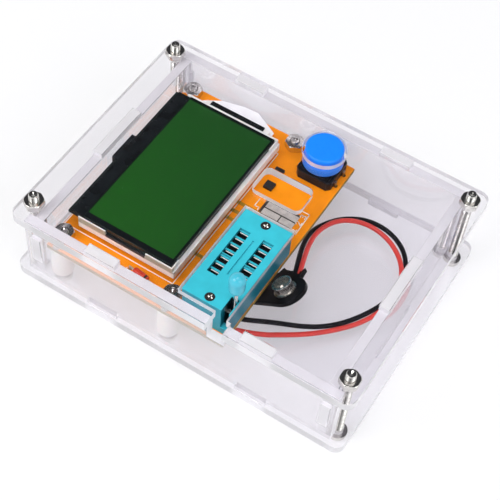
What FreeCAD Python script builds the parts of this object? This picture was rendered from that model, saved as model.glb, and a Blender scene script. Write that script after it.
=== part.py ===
import FreeCAD, Part
import math
import os

# Component tester: a circuit board with a display, a zero-force test socket and a push button,
# in a clear case of slotted sheet. Millimetres. X runs along the long front edge, Y to the back,
# Z up. The origin is under the middle of the case, on the surface that the screw heads stand on.

V = FreeCAD.Vector

# Clear sheet and its slotted joints
sheet_thickness = 3.0
corner_radius = 3.0
front_edge_web = 1.4
side_lane = 6.1
panel_end_web = 1.9
slot_gap = 0.1
long_tab_width = 10.0
long_tab_spacing = 50.8
side_tab_width = 20.0
finger_height = 10.5

# Screws and nuts
screw_diameter = 3.0
screw_hole_gap = 0.15
screw_panel_gap = 0.3
screw_inset = 2.1
head_diameter = 5.6
head_height = 2.0
head_rounding = 0.6
drive_width = 0.8
drive_length = 3.0
drive_depth = 1.0
nut_across_flats = 5.5
nut_height = 2.4
nut_chamfer = 0.35
nut_thread_gap = 0.05
case_screw_tail = 2.4
board_screw_tail = 0.4

# Circuit board and what holds it
board_thickness = 1.6
board_side_gap = 0.4
board_end_gap = 1.35
board_hole_edge = 2.75
board_nut_side_gap = 0.225
board_nut_socket_gap = 0.975
spacer_height = 11.0
spacer_wall_gap = 0.1
pin_hole_gap = 0.2
bay_width = 32.2

# Display
glass_width = 35.6
glass_length = 55.6
glass_thickness = 1.0
glass_ledge = 5.3
glass_board_inset = 1.15
polariser_thickness = 0.2
polariser_edge = 0.25
backlight_thickness = 3.0
frame_margin = 0.7
frame_back_margin = 1.1
glass_overhang = 3.9
glass_play = 0.2
frame_ledge = 0.6
lip_thickness = 0.5
lip_height = 1.5
front_left_lip_width = 9.5
front_right_lip_width = 9.2
corner_lip_length = 5.0
corner_lip_front = 3.8
light_end_left = 5.35
light_end_width = 22.8
light_end_depth = 2.45
led_board_inset = 1.9
led_board_depth = 2.1
led_board_thickness = 0.8
reflector_thickness = 0.25
reflector_tab = [(2.9, 0), (2.9, 3.6), (8.0, 6.9), (15.2, 8.7), (20.0, 9.0), (28.2, 4.8), (28.2, 0)]
reflector_edge = 1.0
foam_thickness = 1.55
foam_width = 6.0
foam_inset = 5.0
coat_thickness = 0.8
coat_edge = 0.2
flex_width = 10.4
flex_thickness = 0.7
flex_shift = 0.15
flex_seat = 1.1
lcd_headroom = 2.0
lcd_front_gap = 0.925
lcd_back_gap = 2.725
lcd_socket_gap = 7.8

# Test socket
socket_width = 15.6
socket_length = 33.0
socket_right_inset = 0.05
socket_front_inset = 1.0
base_height = 7.0
cover_height = 4.4
base_recess = 0.1
contact_count = 7
contact_pitch = 2.54
contact_row_gap = 7.62
contact_row_shift = 0.9
contact_width = 2.6
contact_thickness = 0.3
contact_gap = 0.1
contact_drop = 0.2
contact_tail = 1.3
contact_tail_width = 0.5
entry_width = 3.4
entry_depth = 1.9
window_margin = 0.5
window_recess = 1.1
back_window_count = 4
groove_width = 0.45
groove_depth = 0.4
groove_length = 13.7
groove_shift = 1.2
socket_screw_inset = 2.0
socket_screw_head = 2.8
socket_screw_head_height = 1.0
socket_screw_diameter = 1.6
socket_screw_length = 5.6
socket_screw_sink = 0.1
socket_screw_gap = 0.1
socket_drive_width = 0.5
socket_drive_length = 1.8
socket_drive_depth = 0.5

# Lever, its shaft and the slider that it drives
lever_right_inset = 1.1
lever_front_inset = 4.42
lever_pivot_height = 5.6
rod_diameter = 1.3
shaft_diameter = 1.8
shaft_gap = 0.05
shaft_left_inset = 1.6
eccentric_diameter = 2.2
eccentric_throw = 0.64
eccentric_angle = 45.0
eccentric_inset = 3.35
eccentric_width = 3.0
fork_gap = 0.08
fork_side_gap = 0.3
fork_wall = 0.9
knob_diameter = 4.7
knob_length = 7.9
knob_panel_gap = 0.8
knob_bore_depth = 4.5
knob_bore_gap = 0.05
lever_slot_left = 1.75
lever_slot_right = 0.75
lever_slot_back = 0.4
lever_slot_floor = 3.0
slider_thickness = 2.4
slider_lift = 0.1
slider_end = 1.3
slider_side = 0.85
slider_room = 0.3
contact_stroke_gap = 0.4
tongue_thickness = 0.7

# Push button
switch_inset_right = 8.0
switch_inset_back = 6.65
switch_width = 12.0
switch_corner = 1.2
switch_height = 3.4
switch_cavity = 8.4
switch_floor = 1.0
plate_width = 10.0
plate_thickness = 0.6
dome_diameter = 7.6
dome_height = 0.8
dome_thickness = 0.15
plunger_flange = 7.6
plunger_flange_height = 0.9
plunger_neck = 5.0
plunger_gap = 0.15
plunger_seat_gap = 0.05
neck_rise = 0.6
post_width = 3.8
post_height = 3.8
post_gap = 0.05
nub_diameter = 2.0
press_travel = 0.3
press_room = 0.05
cap_skirt_diameter = 12.6
cap_skirt_height = 2.9
cap_diameter = 11.8
cap_height = 7.6
cap_wall = 1.2
cap_rounding = 0.7
cap_lift = 1.0
cap_boss_diameter = 6.4
terminal_width = 0.9
terminal_thickness = 0.3
terminal_reach = 0.6
terminal_spacing = 5.0
terminal_rise = 1.8
terminal_tail = 1.2
button_hole_gap = 0.4

# Openings in the top and front panels
socket_hole_left = 0.55
socket_hole_right = 0.25
socket_hole_front = 1.15
socket_hole_back = 0.45
test_window_width = 16.2
test_window_depth = 9.6
test_window_bar = 6.3
test_window_shift = 2.55
test_window_radius = 2.0
notch_gap = 0.4
notch_floor = 1.4

# Small parts on the board
pad_thickness = 0.15
pad_length = 10.55
pad_width = 2.15
pad_gap = 0.5
pad_split = 0.4
pad_split_shift = 0.5
pad_right_inset = 4.35
pad_socket_gap = 8.0
chip_width = 2.9
chip_depth = 2.8
chip_height = 1.0
chip_window_back = 2.3
chip_window_left = 0.2
transistor_depth = 1.3
transistor_gap = 3.75
controller_width = 7.0
controller_height = 1.0
controller_pitch = 0.8
controller_pins = 8
controller_shift = 7.0
pin_reach = 1.0
pin_width = 0.37
pin_thickness = 0.2
crystal_width = 5.0
crystal_depth = 3.2
crystal_height = 1.1
crystal_gap = 3.4
regulator_width = 4.5
regulator_depth = 2.5
regulator_height = 1.4
regulator_side_gap = 4.0
chip_part_length = 1.6
chip_part_width = 0.8
chip_part_height = 0.5
chip_part_pitch = 2.4
resistor_count = 6
capacitor_count = 5
chip_row_gap = 2.0
diode_diameter = 2.2
diode_length = 5.2
diode_lift = 0.2
diode_front_inset = 3.15
diode_hole_gap = 11.0
diode_turn = -9.0
diode_lead = 0.6
diode_lead_reach = 1.7
diode_lead_tail = 1.2

# Battery snap, leaning with its clasp end on the bottom panel
snap_x = 19.34
snap_y = -13.3
snap_tilt = 35.5
snap_pitch = 12.7
snap_radius = 5.6
snap_end = 0.9
snap_thickness = 1.4
snap_rounding = 0.4
stud_diameter = 5.8
stud_wall = 0.45
stud_height = 2.4
stud_flange = 6.9
stud_flange_height = 0.35
stud_bead = 0.15
clasp_diameter = 7.8
clasp_wall = 0.6
clasp_height = 2.2
clasp_slots = 6
clasp_slot_width = 0.7
lug_outline = [(1.8, 4.6), (1.7, 5.8), (1.3, 9.2), (0.8, 7.75), (-3.1, 7.65), (-4.9, 7.9), (-6.4, 8.7),
               (-7.6, 5.4), (-7.4, 4.6)]

# Leads from the snap to the board's underside: the start of each in the snap's own plan, route points in
# millimetres, and the end points counted from the board's lower front right corner
lead_diameter = 1.5
lead_arc_share = 0.45
solder_diameter = 2.2
solder_height = 1.7
black_start = (-1.35, 6.6)
black_route = [
    (16.97, -1.97, 15.6), (14.65, 4.61, 13.6), (13.23, 11.53, 11.4), (13.93, 17.3, 9.5), (17.52, 25.01, 7.5),
    (24.7, 30.2, 6.2), (33.87, 29.47, 6.1), (41.45, 23.64, 6.1), (44.5, 13.0, 6.1), (42.38, 4.19, 6.1),
    (39.26, -2.31, 6.1), (35.6, -7.75, 6.2), (31.38, -12.19, 6.6), (26.69, -15.8, 7.6), (21.93, -19.32, 9.6)]
black_end = [(4.3, 14.1, -4.8), (-1.05, 9.1, -1.8), (-6.2, 6.85, -0.9)]
red_start = (0.3, 6.7)
red_route = [
    (18.1, -0.83, 16.2), (15.8, 6.75, 13.6), (15.0, 13.85, 11.7), (16.9, 21.3, 9.7), (21.5, 25.9, 8.4),
    (27.75, 27.45, 7.5), (34.74, 25.44, 7.5), (41.0, 20.3, 7.5), (44.2, 13.0, 7.9), (44.6, 6.5, 7.4),
    (43.08, 1.66, 6.2), (40.29, -4.17, 6.1), (36.45, -9.23, 6.2), (32.36, -13.84, 6.6), (28.14, -18.2, 7.6),
    (23.77, -22.27, 9.0)]
red_end = [(5.95, 10.05, -5.0), (-0.35, 5.05, -1.6), (-5.0, 3.85, -0.9)]

# Plan sizes that follow from the pieces
nut_corner = nut_across_flats / math.sqrt(3.0)
board_hole_side = board_nut_side_gap + nut_corner - board_side_gap
board_width = glass_board_inset + glass_width + lcd_socket_gap + socket_width + socket_right_inset
board_depth = (glass_length + 2 * frame_margin + lcd_front_gap + lcd_back_gap
               + 2 * nut_corner + 2 * board_hole_edge)
inner_width = board_side_gap + board_width + bay_width
inner_depth = board_depth + 2 * board_end_gap
case_width = inner_width + 2 * sheet_thickness + 2 * side_lane
case_depth = inner_depth + 2 * sheet_thickness + 2 * front_edge_web
wall_x = inner_width / 2
wall_y = inner_depth / 2
screw_x = wall_x + sheet_thickness + screw_diameter / 2 + screw_panel_gap
screw_y = wall_y - screw_inset
panel_half = wall_x + sheet_thickness + panel_end_web
screw_hole = screw_diameter + 2 * screw_hole_gap

# Heights
z_sheet = head_height
z_floor = z_sheet + sheet_thickness
z_board = z_floor + spacer_height
z_top = z_board + board_thickness
z_reflector = z_top + foam_thickness
z_light = z_reflector + reflector_thickness
z_rear_glass = z_light + backlight_thickness
z_front_glass = z_rear_glass + glass_thickness
z_polariser = z_front_glass + glass_thickness
z_ceiling = z_polariser + polariser_thickness + lcd_headroom
z_lid = z_ceiling + sheet_thickness
z_cover = z_top + base_height
z_socket = z_cover + cover_height

# Places on the board
board_left = -wall_x + board_side_gap
board_right = board_left + board_width
board_front = -wall_y + board_end_gap
board_back = board_front + board_depth
glass_left = board_left + glass_board_inset
glass_right = glass_left + glass_width
glass_front = board_front + board_hole_edge + nut_corner + lcd_front_gap + frame_margin
glass_back = glass_front + glass_length
frame_left = glass_left + glass_overhang
frame_right = glass_right + frame_margin
frame_side = frame_right + frame_ledge
frame_front = glass_front - frame_margin
frame_back = glass_back + frame_back_margin
lcd_x = (glass_left + glass_right) / 2
lcd_y = (glass_front + glass_back) / 2
socket_right = board_right - socket_right_inset
socket_left = socket_right - socket_width
socket_front = board_front + socket_front_inset
socket_back = socket_front + socket_length
socket_x = (socket_left + socket_right) / 2
socket_y = (socket_front + socket_back) / 2
board_hole_x = (board_left + board_hole_side, socket_left - board_nut_socket_gap - nut_corner)
board_hole_y = (board_front + board_hole_edge, board_back - board_hole_edge)
spacer_diameter = 2 * (board_hole_side + board_side_gap - spacer_wall_gap)
switch_x = board_right - switch_inset_right
switch_y = board_back - switch_inset_back
pad_right = board_right - pad_right_inset
pad_left = pad_right - pad_length
pad_front = socket_back + pad_socket_gap
contact_shift = entry_depth / 2 - contact_thickness / 2 - contact_gap
contact_top = z_socket - window_recess - contact_drop
snap_z = (z_floor + (snap_pitch + snap_end + snap_radius) * math.sin(math.radians(snap_tilt))
          + snap_thickness * math.cos(math.radians(snap_tilt)))

# Lever and slider
lever_x = socket_right - lever_right_inset
lever_y = socket_front + lever_front_inset
lever_z = z_top + lever_pivot_height
lever_slot = (lever_x - lever_slot_left, lever_x + lever_slot_right)
lever_slot_end = lever_y + rod_diameter / 2 + lever_slot_back
eccentric_y = lever_y + eccentric_throw * math.cos(math.radians(eccentric_angle))
eccentric_z = lever_z + eccentric_throw * math.sin(math.radians(eccentric_angle))
slider_stroke = 2 * eccentric_throw * math.cos(math.radians(eccentric_angle))
eccentric_left = socket_left + eccentric_inset
eccentric_right = eccentric_left + eccentric_width
knob_start = lever_y + wall_y + sheet_thickness + knob_panel_gap
z_slider = z_cover + slider_lift
z_slider_top = z_slider + slider_thickness
cavity_top = z_slider_top + slider_room

# Openings in the panels
socket_hole = (socket_left - socket_hole_left, socket_right + socket_hole_right,
               socket_front - socket_hole_front, socket_back + socket_hole_back)
notch = (lever_x - knob_diameter / 2 - notch_gap, lever_x + knob_diameter / 2 + notch_gap)
test_window_x = socket_x - test_window_shift
test_window_front = socket_hole[3] + test_window_bar
test_window_back = test_window_front + test_window_depth


def box(x0, x1, y0, y1, z0, z1):
    """Return a box between the given faces."""
    return Part.makeBox(x1 - x0, y1 - y0, z1 - z0, V(x0, y0, z0))


def disc(x, y, z0, z1, diameter):
    """Return an upright cylinder."""
    return Part.makeCylinder(diameter / 2, z1 - z0, V(x, y, z0))


def prism(points, z0, z1):
    """Return an upright prism over a closed outline."""
    wire = Part.makePolygon([V(x, y, z0) for x, y in points + points[:1]])
    return Part.Face(wire).extrude(V(0, 0, z1 - z0))


def rounded_box(x0, x1, y0, y1, z0, z1, radius):
    """Return a box with its upright edges rounded."""
    solid = box(x0, x1, y0, y1, z0, z1)
    upright = [e for e in solid.Edges if abs(e.Vertexes[0].Z - e.Vertexes[1].Z) > (z1 - z0) / 2]
    return solid.makeFillet(radius, upright)


def join(shapes):
    """Return the union of the shapes without the seams between them."""
    return shapes[0].multiFuse(shapes[1:]).removeSplitter()


def rim_edges(shape, z, diameter):
    """Return the round edges of the given diameter at one height."""
    found = []
    for edge in shape.Edges:
        if isinstance(edge.Curve, Part.Circle) and abs(edge.Curve.Radius - diameter / 2) < 1e-6:
            if abs(edge.Curve.Center.z - z) < 1e-6:
                found.append(edge)
    return found


def save(name, shapes):
    """Write one node."""
    shape = shapes[0] if len(shapes) == 1 else Part.makeCompound(shapes)
    shape.exportStep("parts/" + name + ".step")


def cross(x, y, z0, z1, width, length):
    """Return the cutter of a cross drive."""
    return join([box(x - width / 2, x + width / 2, y - length / 2, y + length / 2, z0, z1),
                 box(x - length / 2, x + length / 2, y - width / 2, y + width / 2, z0, z1)])


def long_tabs():
    """Return the left and right limits of the front and back panels' tabs."""
    half = long_tab_width / 2
    return [(s * long_tab_spacing / 2 - half, s * long_tab_spacing / 2 + half) for s in (-1, 1)]


def corner_points():
    """Return the four corner screws' places."""
    return [(sx * screw_x, sy * screw_y) for sx in (-1, 1) for sy in (-1, 1)]


def board_points():
    """Return the four board screws' places."""
    return [(x, y) for x in board_hole_x for y in board_hole_y]


def flat_panel(z0, holes):
    """Return a top or bottom panel with its tab slots and screw holes."""
    z1 = z0 + sheet_thickness
    plate = rounded_box(-case_width / 2, case_width / 2, -case_depth / 2, case_depth / 2, z0, z1, corner_radius)
    cuts = []
    for x0, x1 in long_tabs():
        for y0 in (-wall_y - sheet_thickness, wall_y):
            y1 = y0 + sheet_thickness
            cuts.append(box(x0 - slot_gap, x1 + slot_gap, y0 - slot_gap, y1 + slot_gap, z0, z1))
    half = side_tab_width / 2 + slot_gap
    for x0 in (-wall_x - sheet_thickness, wall_x):
        cuts.append(box(x0 - slot_gap, x0 + sheet_thickness + slot_gap, -half, half, z0, z1))
    for x, y in holes:
        cuts.append(disc(x, y, z0, z1, screw_hole))
    return plate.cut(cuts)


def top_panel():
    """Return the top panel with the button hole, the test window and the socket's cut-out."""
    x0, x1, y0, y1 = socket_hole
    front = -case_depth / 2
    window = rounded_box(test_window_x - test_window_width / 2, test_window_x + test_window_width / 2,
                         test_window_front, test_window_back, z_ceiling, z_lid, test_window_radius)
    button = disc(switch_x, switch_y, z_ceiling, z_lid, cap_skirt_diameter + 2 * button_hole_gap)
    cut_out = join([box(x0, x1, y0, y1, z_ceiling, z_lid), box(notch[0], x1, -wall_y, y0, z_ceiling, z_lid),
                    box(notch[0], notch[1], front, -wall_y, z_ceiling, z_lid)])
    return flat_panel(z_ceiling, corner_points()).cut([window, button, cut_out])


def long_panel(side, notched):
    """Return the front (-1) or back (1) panel with its tabs and the slots for the side panels."""
    y0 = wall_y if side > 0 else -wall_y - sheet_thickness
    y1 = y0 + sheet_thickness
    pieces = [box(-panel_half, panel_half, y0, y1, z_floor, z_ceiling)]
    for x0, x1 in long_tabs():
        pieces.append(box(x0, x1, y0, y1, z_sheet, z_lid))
    middle = (z_floor + z_ceiling) / 2
    half = finger_height / 2 + slot_gap
    cuts = []
    for x0 in (-wall_x - sheet_thickness, wall_x):
        cuts.append(box(x0 - slot_gap, x0 + sheet_thickness + slot_gap, y0, y1, middle - half, middle + half))
    if notched:
        cuts.append(box(notch[0], notch[1], y0, y1, lever_z - notch_floor, z_ceiling))
    return join(pieces).cut(cuts)


def side_panel(side):
    """Return the left (-1) or right (1) panel with its tabs and its end fingers."""
    x0 = wall_x if side > 0 else -wall_x - sheet_thickness
    x1 = x0 + sheet_thickness
    middle = (z_floor + z_ceiling) / 2
    outer = wall_y + sheet_thickness
    half = side_tab_width / 2
    return join([box(x0, x1, -wall_y, wall_y, z_floor, z_ceiling),
                 box(x0, x1, -half, half, z_sheet, z_lid),
                 box(x0, x1, -outer, outer, middle - finger_height / 2, middle + finger_height / 2)])


def screw(x, y, z_end):
    """Return a pan-head screw put in from below, with its head under the bottom panel."""
    head = disc(x, y, 0, head_height, head_diameter)
    head = head.makeFillet(head_rounding, rim_edges(head, 0, head_diameter))
    head = head.cut(cross(x, y, 0, drive_depth, drive_width, drive_length))
    return join([head, disc(x, y, head_height, z_end, screw_diameter)])


def nut(x, y, z):
    """Return a hexagon nut with both faces chamfered."""
    angles = [math.radians(60 * k + 30) for k in range(6)]
    outline = [(x + nut_corner * math.cos(a), y + nut_corner * math.sin(a)) for a in angles]
    blank = disc(x, y, z, z + nut_height, 2 * nut_corner)
    rims = rim_edges(blank, z, 2 * nut_corner) + rim_edges(blank, z + nut_height, 2 * nut_corner)
    blank = blank.makeChamfer(nut_chamfer, rims)
    hole = disc(x, y, z, z + nut_height, screw_diameter + 2 * nut_thread_gap)
    return prism(outline, z, z + nut_height).common(blank).cut(hole)


def make_case():
    """Write the six panels with their screws and nuts."""
    save("bottom_panel", [flat_panel(z_sheet, corner_points() + board_points())])
    save("top_panel", [top_panel()])
    save("front_panel", [long_panel(-1, True)])
    save("back_panel", [long_panel(1, False)])
    save("left_panel", [side_panel(-1)])
    save("right_panel", [side_panel(1)])
    z_end = z_lid + nut_height + case_screw_tail
    save("case_screws", [screw(x, y, z_end) for x, y in corner_points()])
    save("case_nuts", [nut(x, y, z_lid) for x, y in corner_points()])


def contact_points():
    """Return the socket contacts' places, row by row from the back."""
    first = socket_y + contact_row_shift + contact_pitch * (contact_count - 1) / 2
    return [(socket_x + side * contact_row_gap / 2, first - k * contact_pitch)
            for side in (-1, 1) for k in range(contact_count)]


def strip_points():
    """Return the contact strips' places, each against the back of its entry."""
    return [(x, y + contact_shift) for x, y in contact_points()]


def terminal_points():
    """Return the switch terminals' sides and places."""
    reach = switch_width / 2 + terminal_reach - terminal_thickness / 2
    return [(sx, switch_x + sx * reach, switch_y + sy * terminal_spacing / 2) for sx in (-1, 1) for sy in (-1, 1)]


def diode_place(x, y):
    """Return a point of the diode's own plan, turned and moved to the board."""
    turn = math.radians(diode_turn)
    return (board_hole_x[1] - diode_hole_gap + x * math.cos(turn) - y * math.sin(turn),
            board_front + diode_front_inset + x * math.sin(turn) + y * math.cos(turn))


def make_board():
    """Write the circuit board with its spacers, screws and nuts."""
    board = box(board_left, board_right, board_front, board_back, z_board, z_top)
    pin = math.hypot(contact_tail_width, contact_thickness) + 2 * pin_hole_gap
    leg = math.hypot(terminal_width, terminal_thickness) + 2 * pin_hole_gap
    cuts = [disc(x, y, z_board, z_top, screw_hole) for x, y in board_points()]
    cuts += [disc(x, y, z_board, z_top, pin) for x, y in strip_points()]
    cuts += [disc(x, y, z_board, z_top, leg) for sx, x, y in terminal_points()]
    for side in (-1, 1):
        x, y = diode_place(side * (diode_length / 2 + diode_lead_reach), 0)
        cuts.append(disc(x, y, z_board, z_top, diode_lead + 2 * pin_hole_gap))
    save("circuit_board", [board.cut(cuts)])
    tubes = []
    for x, y in board_points():
        tube = disc(x, y, z_floor, z_board, spacer_diameter)
        tubes.append(tube.cut(disc(x, y, z_floor, z_board, screw_hole)))
    save("board_spacers", tubes)
    z_end = z_top + nut_height + board_screw_tail
    save("board_screws", [screw(x, y, z_end) for x, y in board_points()])
    save("board_nuts", [nut(x, y, z_top) for x, y in board_points()])


def backlight():
    """Return the display's light frame with the lips that hold the glass."""
    top = z_rear_glass + lip_height
    lip = frame_front + lip_thickness
    end_left = frame_left + light_end_left
    back_lip = glass_back + glass_play
    side_lip = frame_right - lip_thickness
    pieces = [box(frame_left, frame_side, frame_front, frame_back, z_light, z_rear_glass),
              box(frame_left, frame_left + front_left_lip_width, frame_front, lip, z_light, top),
              box(frame_right - front_right_lip_width, frame_right, frame_front, lip, z_light, top),
              box(side_lip, frame_right, frame_front, frame_front + corner_lip_front, z_light, top),
              box(side_lip, frame_right, frame_back - corner_lip_length, frame_back, z_light, top),
              box(frame_left, frame_right, back_lip, frame_back, z_light, top),
              box(end_left, end_left + light_end_width, frame_back, frame_back + light_end_depth,
                  z_light, z_rear_glass)]
    return join(pieces)


def make_display():
    """Write the display from the foam pads up to the polariser."""
    pads = []
    for side in (-1, 1):
        y = lcd_y + side * (glass_length / 2 - foam_inset)
        pads.append(box(glass_left + foam_inset, glass_right - foam_inset, y - foam_width / 2,
                        y + foam_width / 2, z_top, z_reflector))
    save("lcd_foam_pads", pads)
    sheet = box(frame_left + reflector_edge, frame_side - reflector_edge, frame_front + reflector_edge,
                frame_back, z_reflector, z_light)
    tab = prism([(frame_left + x, frame_back + y) for x, y in reflector_tab], z_reflector, z_light)
    save("lcd_reflector", [join([sheet, tab])])
    save("lcd_backlight", [backlight()])
    x0 = frame_left + light_end_left + led_board_inset
    x1 = frame_left + light_end_left + light_end_width - led_board_inset
    y0 = frame_back + (light_end_depth - led_board_depth) / 2
    save("backlight_led_board", [box(x0, x1, y0, y0 + led_board_depth, z_rear_glass,
                                     z_rear_glass + led_board_thickness)])
    ledge = glass_left + glass_ledge
    save("lcd_rear_glass", [box(glass_left, glass_right, glass_front, glass_back, z_rear_glass, z_front_glass)])
    save("lcd_front_glass", [box(ledge, glass_right, glass_front, glass_back, z_front_glass, z_polariser)])
    save("lcd_polariser", [box(ledge + polariser_edge, glass_right - polariser_edge, glass_front + polariser_edge,
                               glass_back - polariser_edge, z_polariser, z_polariser + polariser_thickness)])
    save("lcd_driver_coat", [box(glass_left + flex_seat, ledge - coat_edge, glass_front + coat_edge,
                                 glass_back - coat_edge, z_front_glass, z_front_glass + coat_thickness)])
    flex_out = board_left + flex_shift
    y0 = lcd_y + flex_shift - flex_width / 2
    y1 = y0 + flex_width
    drop_in = min(flex_out + flex_thickness, glass_left - coat_edge)
    drop = box(flex_out, drop_in, y0, y1, z_top, z_front_glass + flex_thickness)
    over = box(flex_out, glass_left + flex_seat, y0, y1, z_front_glass, z_front_glass + flex_thickness)
    save("lcd_flex", [join([drop, over])])


def socket_windows():
    """Return the y limits of the sunken windows along one row of contacts."""
    ys = [y for x, y in contact_points()[:contact_count]]
    reach = entry_depth / 2 + window_margin
    back = (ys[back_window_count - 1] - entry_depth / 2, ys[0] + reach)
    front = (ys[-1] - entry_depth / 2, ys[back_window_count] + reach)
    return [back, front]


def socket_screw_places():
    """Return the two cover screws' places."""
    return [(socket_x, socket_front + socket_screw_inset), (socket_x, socket_back - socket_screw_inset)]


def lever_slot_cut(z0, z1):
    """Return the cutter of the slot that the lever swings in."""
    return box(lever_slot[0], lever_slot[1], socket_front, lever_slot_end, z0, z1)


def fork_limits():
    """Return the y limits of the fork's front wall and back wall."""
    reach = eccentric_diameter / 2 + fork_gap
    return ((eccentric_y - reach - fork_wall, eccentric_y - reach),
            (eccentric_y + reach, eccentric_y + reach + fork_wall))


def slider_limits():
    """Return the slider plate's left, right, front and back faces."""
    ys = [y for x, y in strip_points()]
    reach = contact_row_gap / 2 + contact_width / 2 + contact_gap + slider_side
    return (socket_x - reach, socket_x + reach, min(ys) - slider_end, max(ys) + slider_end + slider_stroke)


def socket_base():
    """Return the socket's lower body with its contact slots, shaft bore and fork pocket."""
    body = box(socket_left + base_recess, socket_right - base_recess, socket_front + base_recess,
               socket_back - base_recess, z_top, z_cover)
    half_x = contact_width / 2 + contact_gap
    half_y = contact_thickness / 2 + contact_gap
    cuts = [box(x - half_x, x + half_x, y - half_y, y + half_y, z_top, z_cover) for x, y in strip_points()]
    left = socket_left + shaft_left_inset - shaft_gap
    cuts.append(Part.makeCylinder(shaft_diameter / 2 + shaft_gap, lever_slot[0] - left,
                                  V(left, lever_y, lever_z), V(1, 0, 0)))
    front_wall, back_wall = fork_limits()
    room = eccentric_diameter / 2 + slider_room
    cuts.append(box(eccentric_left - fork_gap, eccentric_right + fork_gap,
                    front_wall[0] - slider_stroke - slider_room, back_wall[1] + slider_room,
                    eccentric_z - room, z_cover))
    cuts.append(lever_slot_cut(lever_z - lever_slot_floor, z_cover))
    depth = z_socket - socket_screw_sink - socket_screw_head_height - socket_screw_length
    for x, y in socket_screw_places():
        cuts.append(disc(x, y, depth, z_cover, socket_screw_diameter + 2 * socket_screw_gap))
    return body.cut(cuts)


def socket_cover():
    """Return the socket's cover with its entries, sunken windows, groove and slider cavity."""
    body = box(socket_left, socket_right, socket_front, socket_back, z_cover, z_socket)
    cuts = []
    half = entry_width / 2
    for x, y in contact_points():
        cuts.append(box(x - half, x + half, y - entry_depth / 2, y + entry_depth / 2, cavity_top, z_socket))
    for side in (-1, 1):
        x = socket_x + side * contact_row_gap / 2
        for y0, y1 in socket_windows():
            cuts.append(box(x - half, x + half, y0, y1, z_socket - window_recess, z_socket))
    y = socket_y + groove_shift
    cuts.append(box(socket_x - groove_width / 2, socket_x + groove_width / 2, y - groove_length / 2,
                    y + groove_length / 2, z_socket - groove_depth, z_socket))
    x0, x1, y0, y1 = slider_limits()
    cuts.append(box(x0 - slider_room, x1 + slider_room, y0 - slider_stroke - slider_room, y1 + slider_room,
                    z_cover, cavity_top))
    front_wall, back_wall = fork_limits()
    cuts.append(box(eccentric_left - fork_gap, eccentric_right + fork_gap,
                    front_wall[0] - slider_stroke - slider_room, y0, z_cover, cavity_top))
    cuts.append(lever_slot_cut(z_cover, z_socket))
    seat = z_socket - socket_screw_sink - socket_screw_head_height
    for x, y in socket_screw_places():
        cuts.append(disc(x, y, seat, z_socket, socket_screw_head + 2 * socket_screw_gap))
        cuts.append(disc(x, y, z_cover, seat, socket_screw_diameter + 2 * socket_screw_gap))
    return body.cut(cuts)


def socket_slider():
    """Return the sliding plate with a slot round each contact and the fork on the eccentric."""
    x0, x1, y0, y1 = slider_limits()
    front_wall, back_wall = fork_limits()
    fork_left = eccentric_left + fork_side_gap
    fork_right = eccentric_right - fork_side_gap
    foot = eccentric_z - fork_side_gap
    shelf = z_slider_top - tongue_thickness
    plate = join([box(x0, x1, y0, y1, z_slider, z_slider_top),
                  box(fork_left, fork_right, front_wall[0], y0, shelf, z_slider_top),
                  box(fork_left, fork_right, front_wall[0], front_wall[1], foot, z_slider_top),
                  box(fork_left, fork_right, back_wall[0], back_wall[1], foot, z_slider_top)])
    half_x = contact_width / 2 + contact_stroke_gap
    half_y = contact_thickness / 2 + contact_stroke_gap
    cuts = [box(x - half_x, x + half_x, y - half_y, y + half_y + slider_stroke, z_slider, z_slider_top)
            for x, y in strip_points()]
    return plate.cut(cuts)


def socket_contact(x, y):
    """Return one contact strip with its tail through the board."""
    half = contact_width / 2
    tail = contact_tail_width / 2
    thin = contact_thickness / 2
    return join([box(x - half, x + half, y - thin, y + thin, z_top, contact_top),
                 box(x - tail, x + tail, y - thin, y + thin, z_board - contact_tail, z_top)])


def socket_lever():
    """Return the bent lever: the cross shaft with its eccentric and the upright rod."""
    left = socket_left + shaft_left_inset
    radius = shaft_diameter / 2
    rod_top = lever_z + knob_start + knob_bore_depth
    along = V(1, 0, 0)
    return join([Part.makeCylinder(radius, eccentric_left - left, V(left, lever_y, lever_z), along),
                 Part.makeCylinder(eccentric_diameter / 2, eccentric_width,
                                   V(eccentric_left, eccentric_y, eccentric_z), along),
                 Part.makeCylinder(radius, lever_x - eccentric_right, V(eccentric_right, lever_y, lever_z), along),
                 Part.makeSphere(rod_diameter / 2, V(lever_x, lever_y, lever_z)),
                 disc(lever_x, lever_y, lever_z, rod_top, rod_diameter)])


def lever_knob():
    """Return the round-ended knob on the rod."""
    radius = knob_diameter / 2
    low = lever_z + knob_start
    high = low + knob_length
    knob = join([disc(lever_x, lever_y, low + radius, high - radius, knob_diameter),
                 Part.makeSphere(radius, V(lever_x, lever_y, low + radius)),
                 Part.makeSphere(radius, V(lever_x, lever_y, high - radius))])
    bore = rod_diameter + 2 * knob_bore_gap
    return knob.cut(disc(lever_x, lever_y, low - radius, low + knob_bore_depth + knob_bore_gap, bore))


def make_socket():
    """Write the test socket, its lever and its slider."""
    save("socket_base", [socket_base()])
    save("socket_cover", [socket_cover()])
    save("socket_slider", [socket_slider()])
    save("socket_contacts", [socket_contact(x, y) for x, y in strip_points()])
    top = z_socket - socket_screw_sink
    seat = top - socket_screw_head_height
    screws = []
    for x, y in socket_screw_places():
        body = join([disc(x, y, seat, top, socket_screw_head),
                     disc(x, y, seat - socket_screw_length, seat, socket_screw_diameter)])
        screws.append(body.cut(cross(x, y, top - socket_drive_depth, top, socket_drive_width, socket_drive_length)))
    save("socket_screws", screws)
    save("socket_lever", [socket_lever()])
    save("lever_knob", [lever_knob()])


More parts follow.
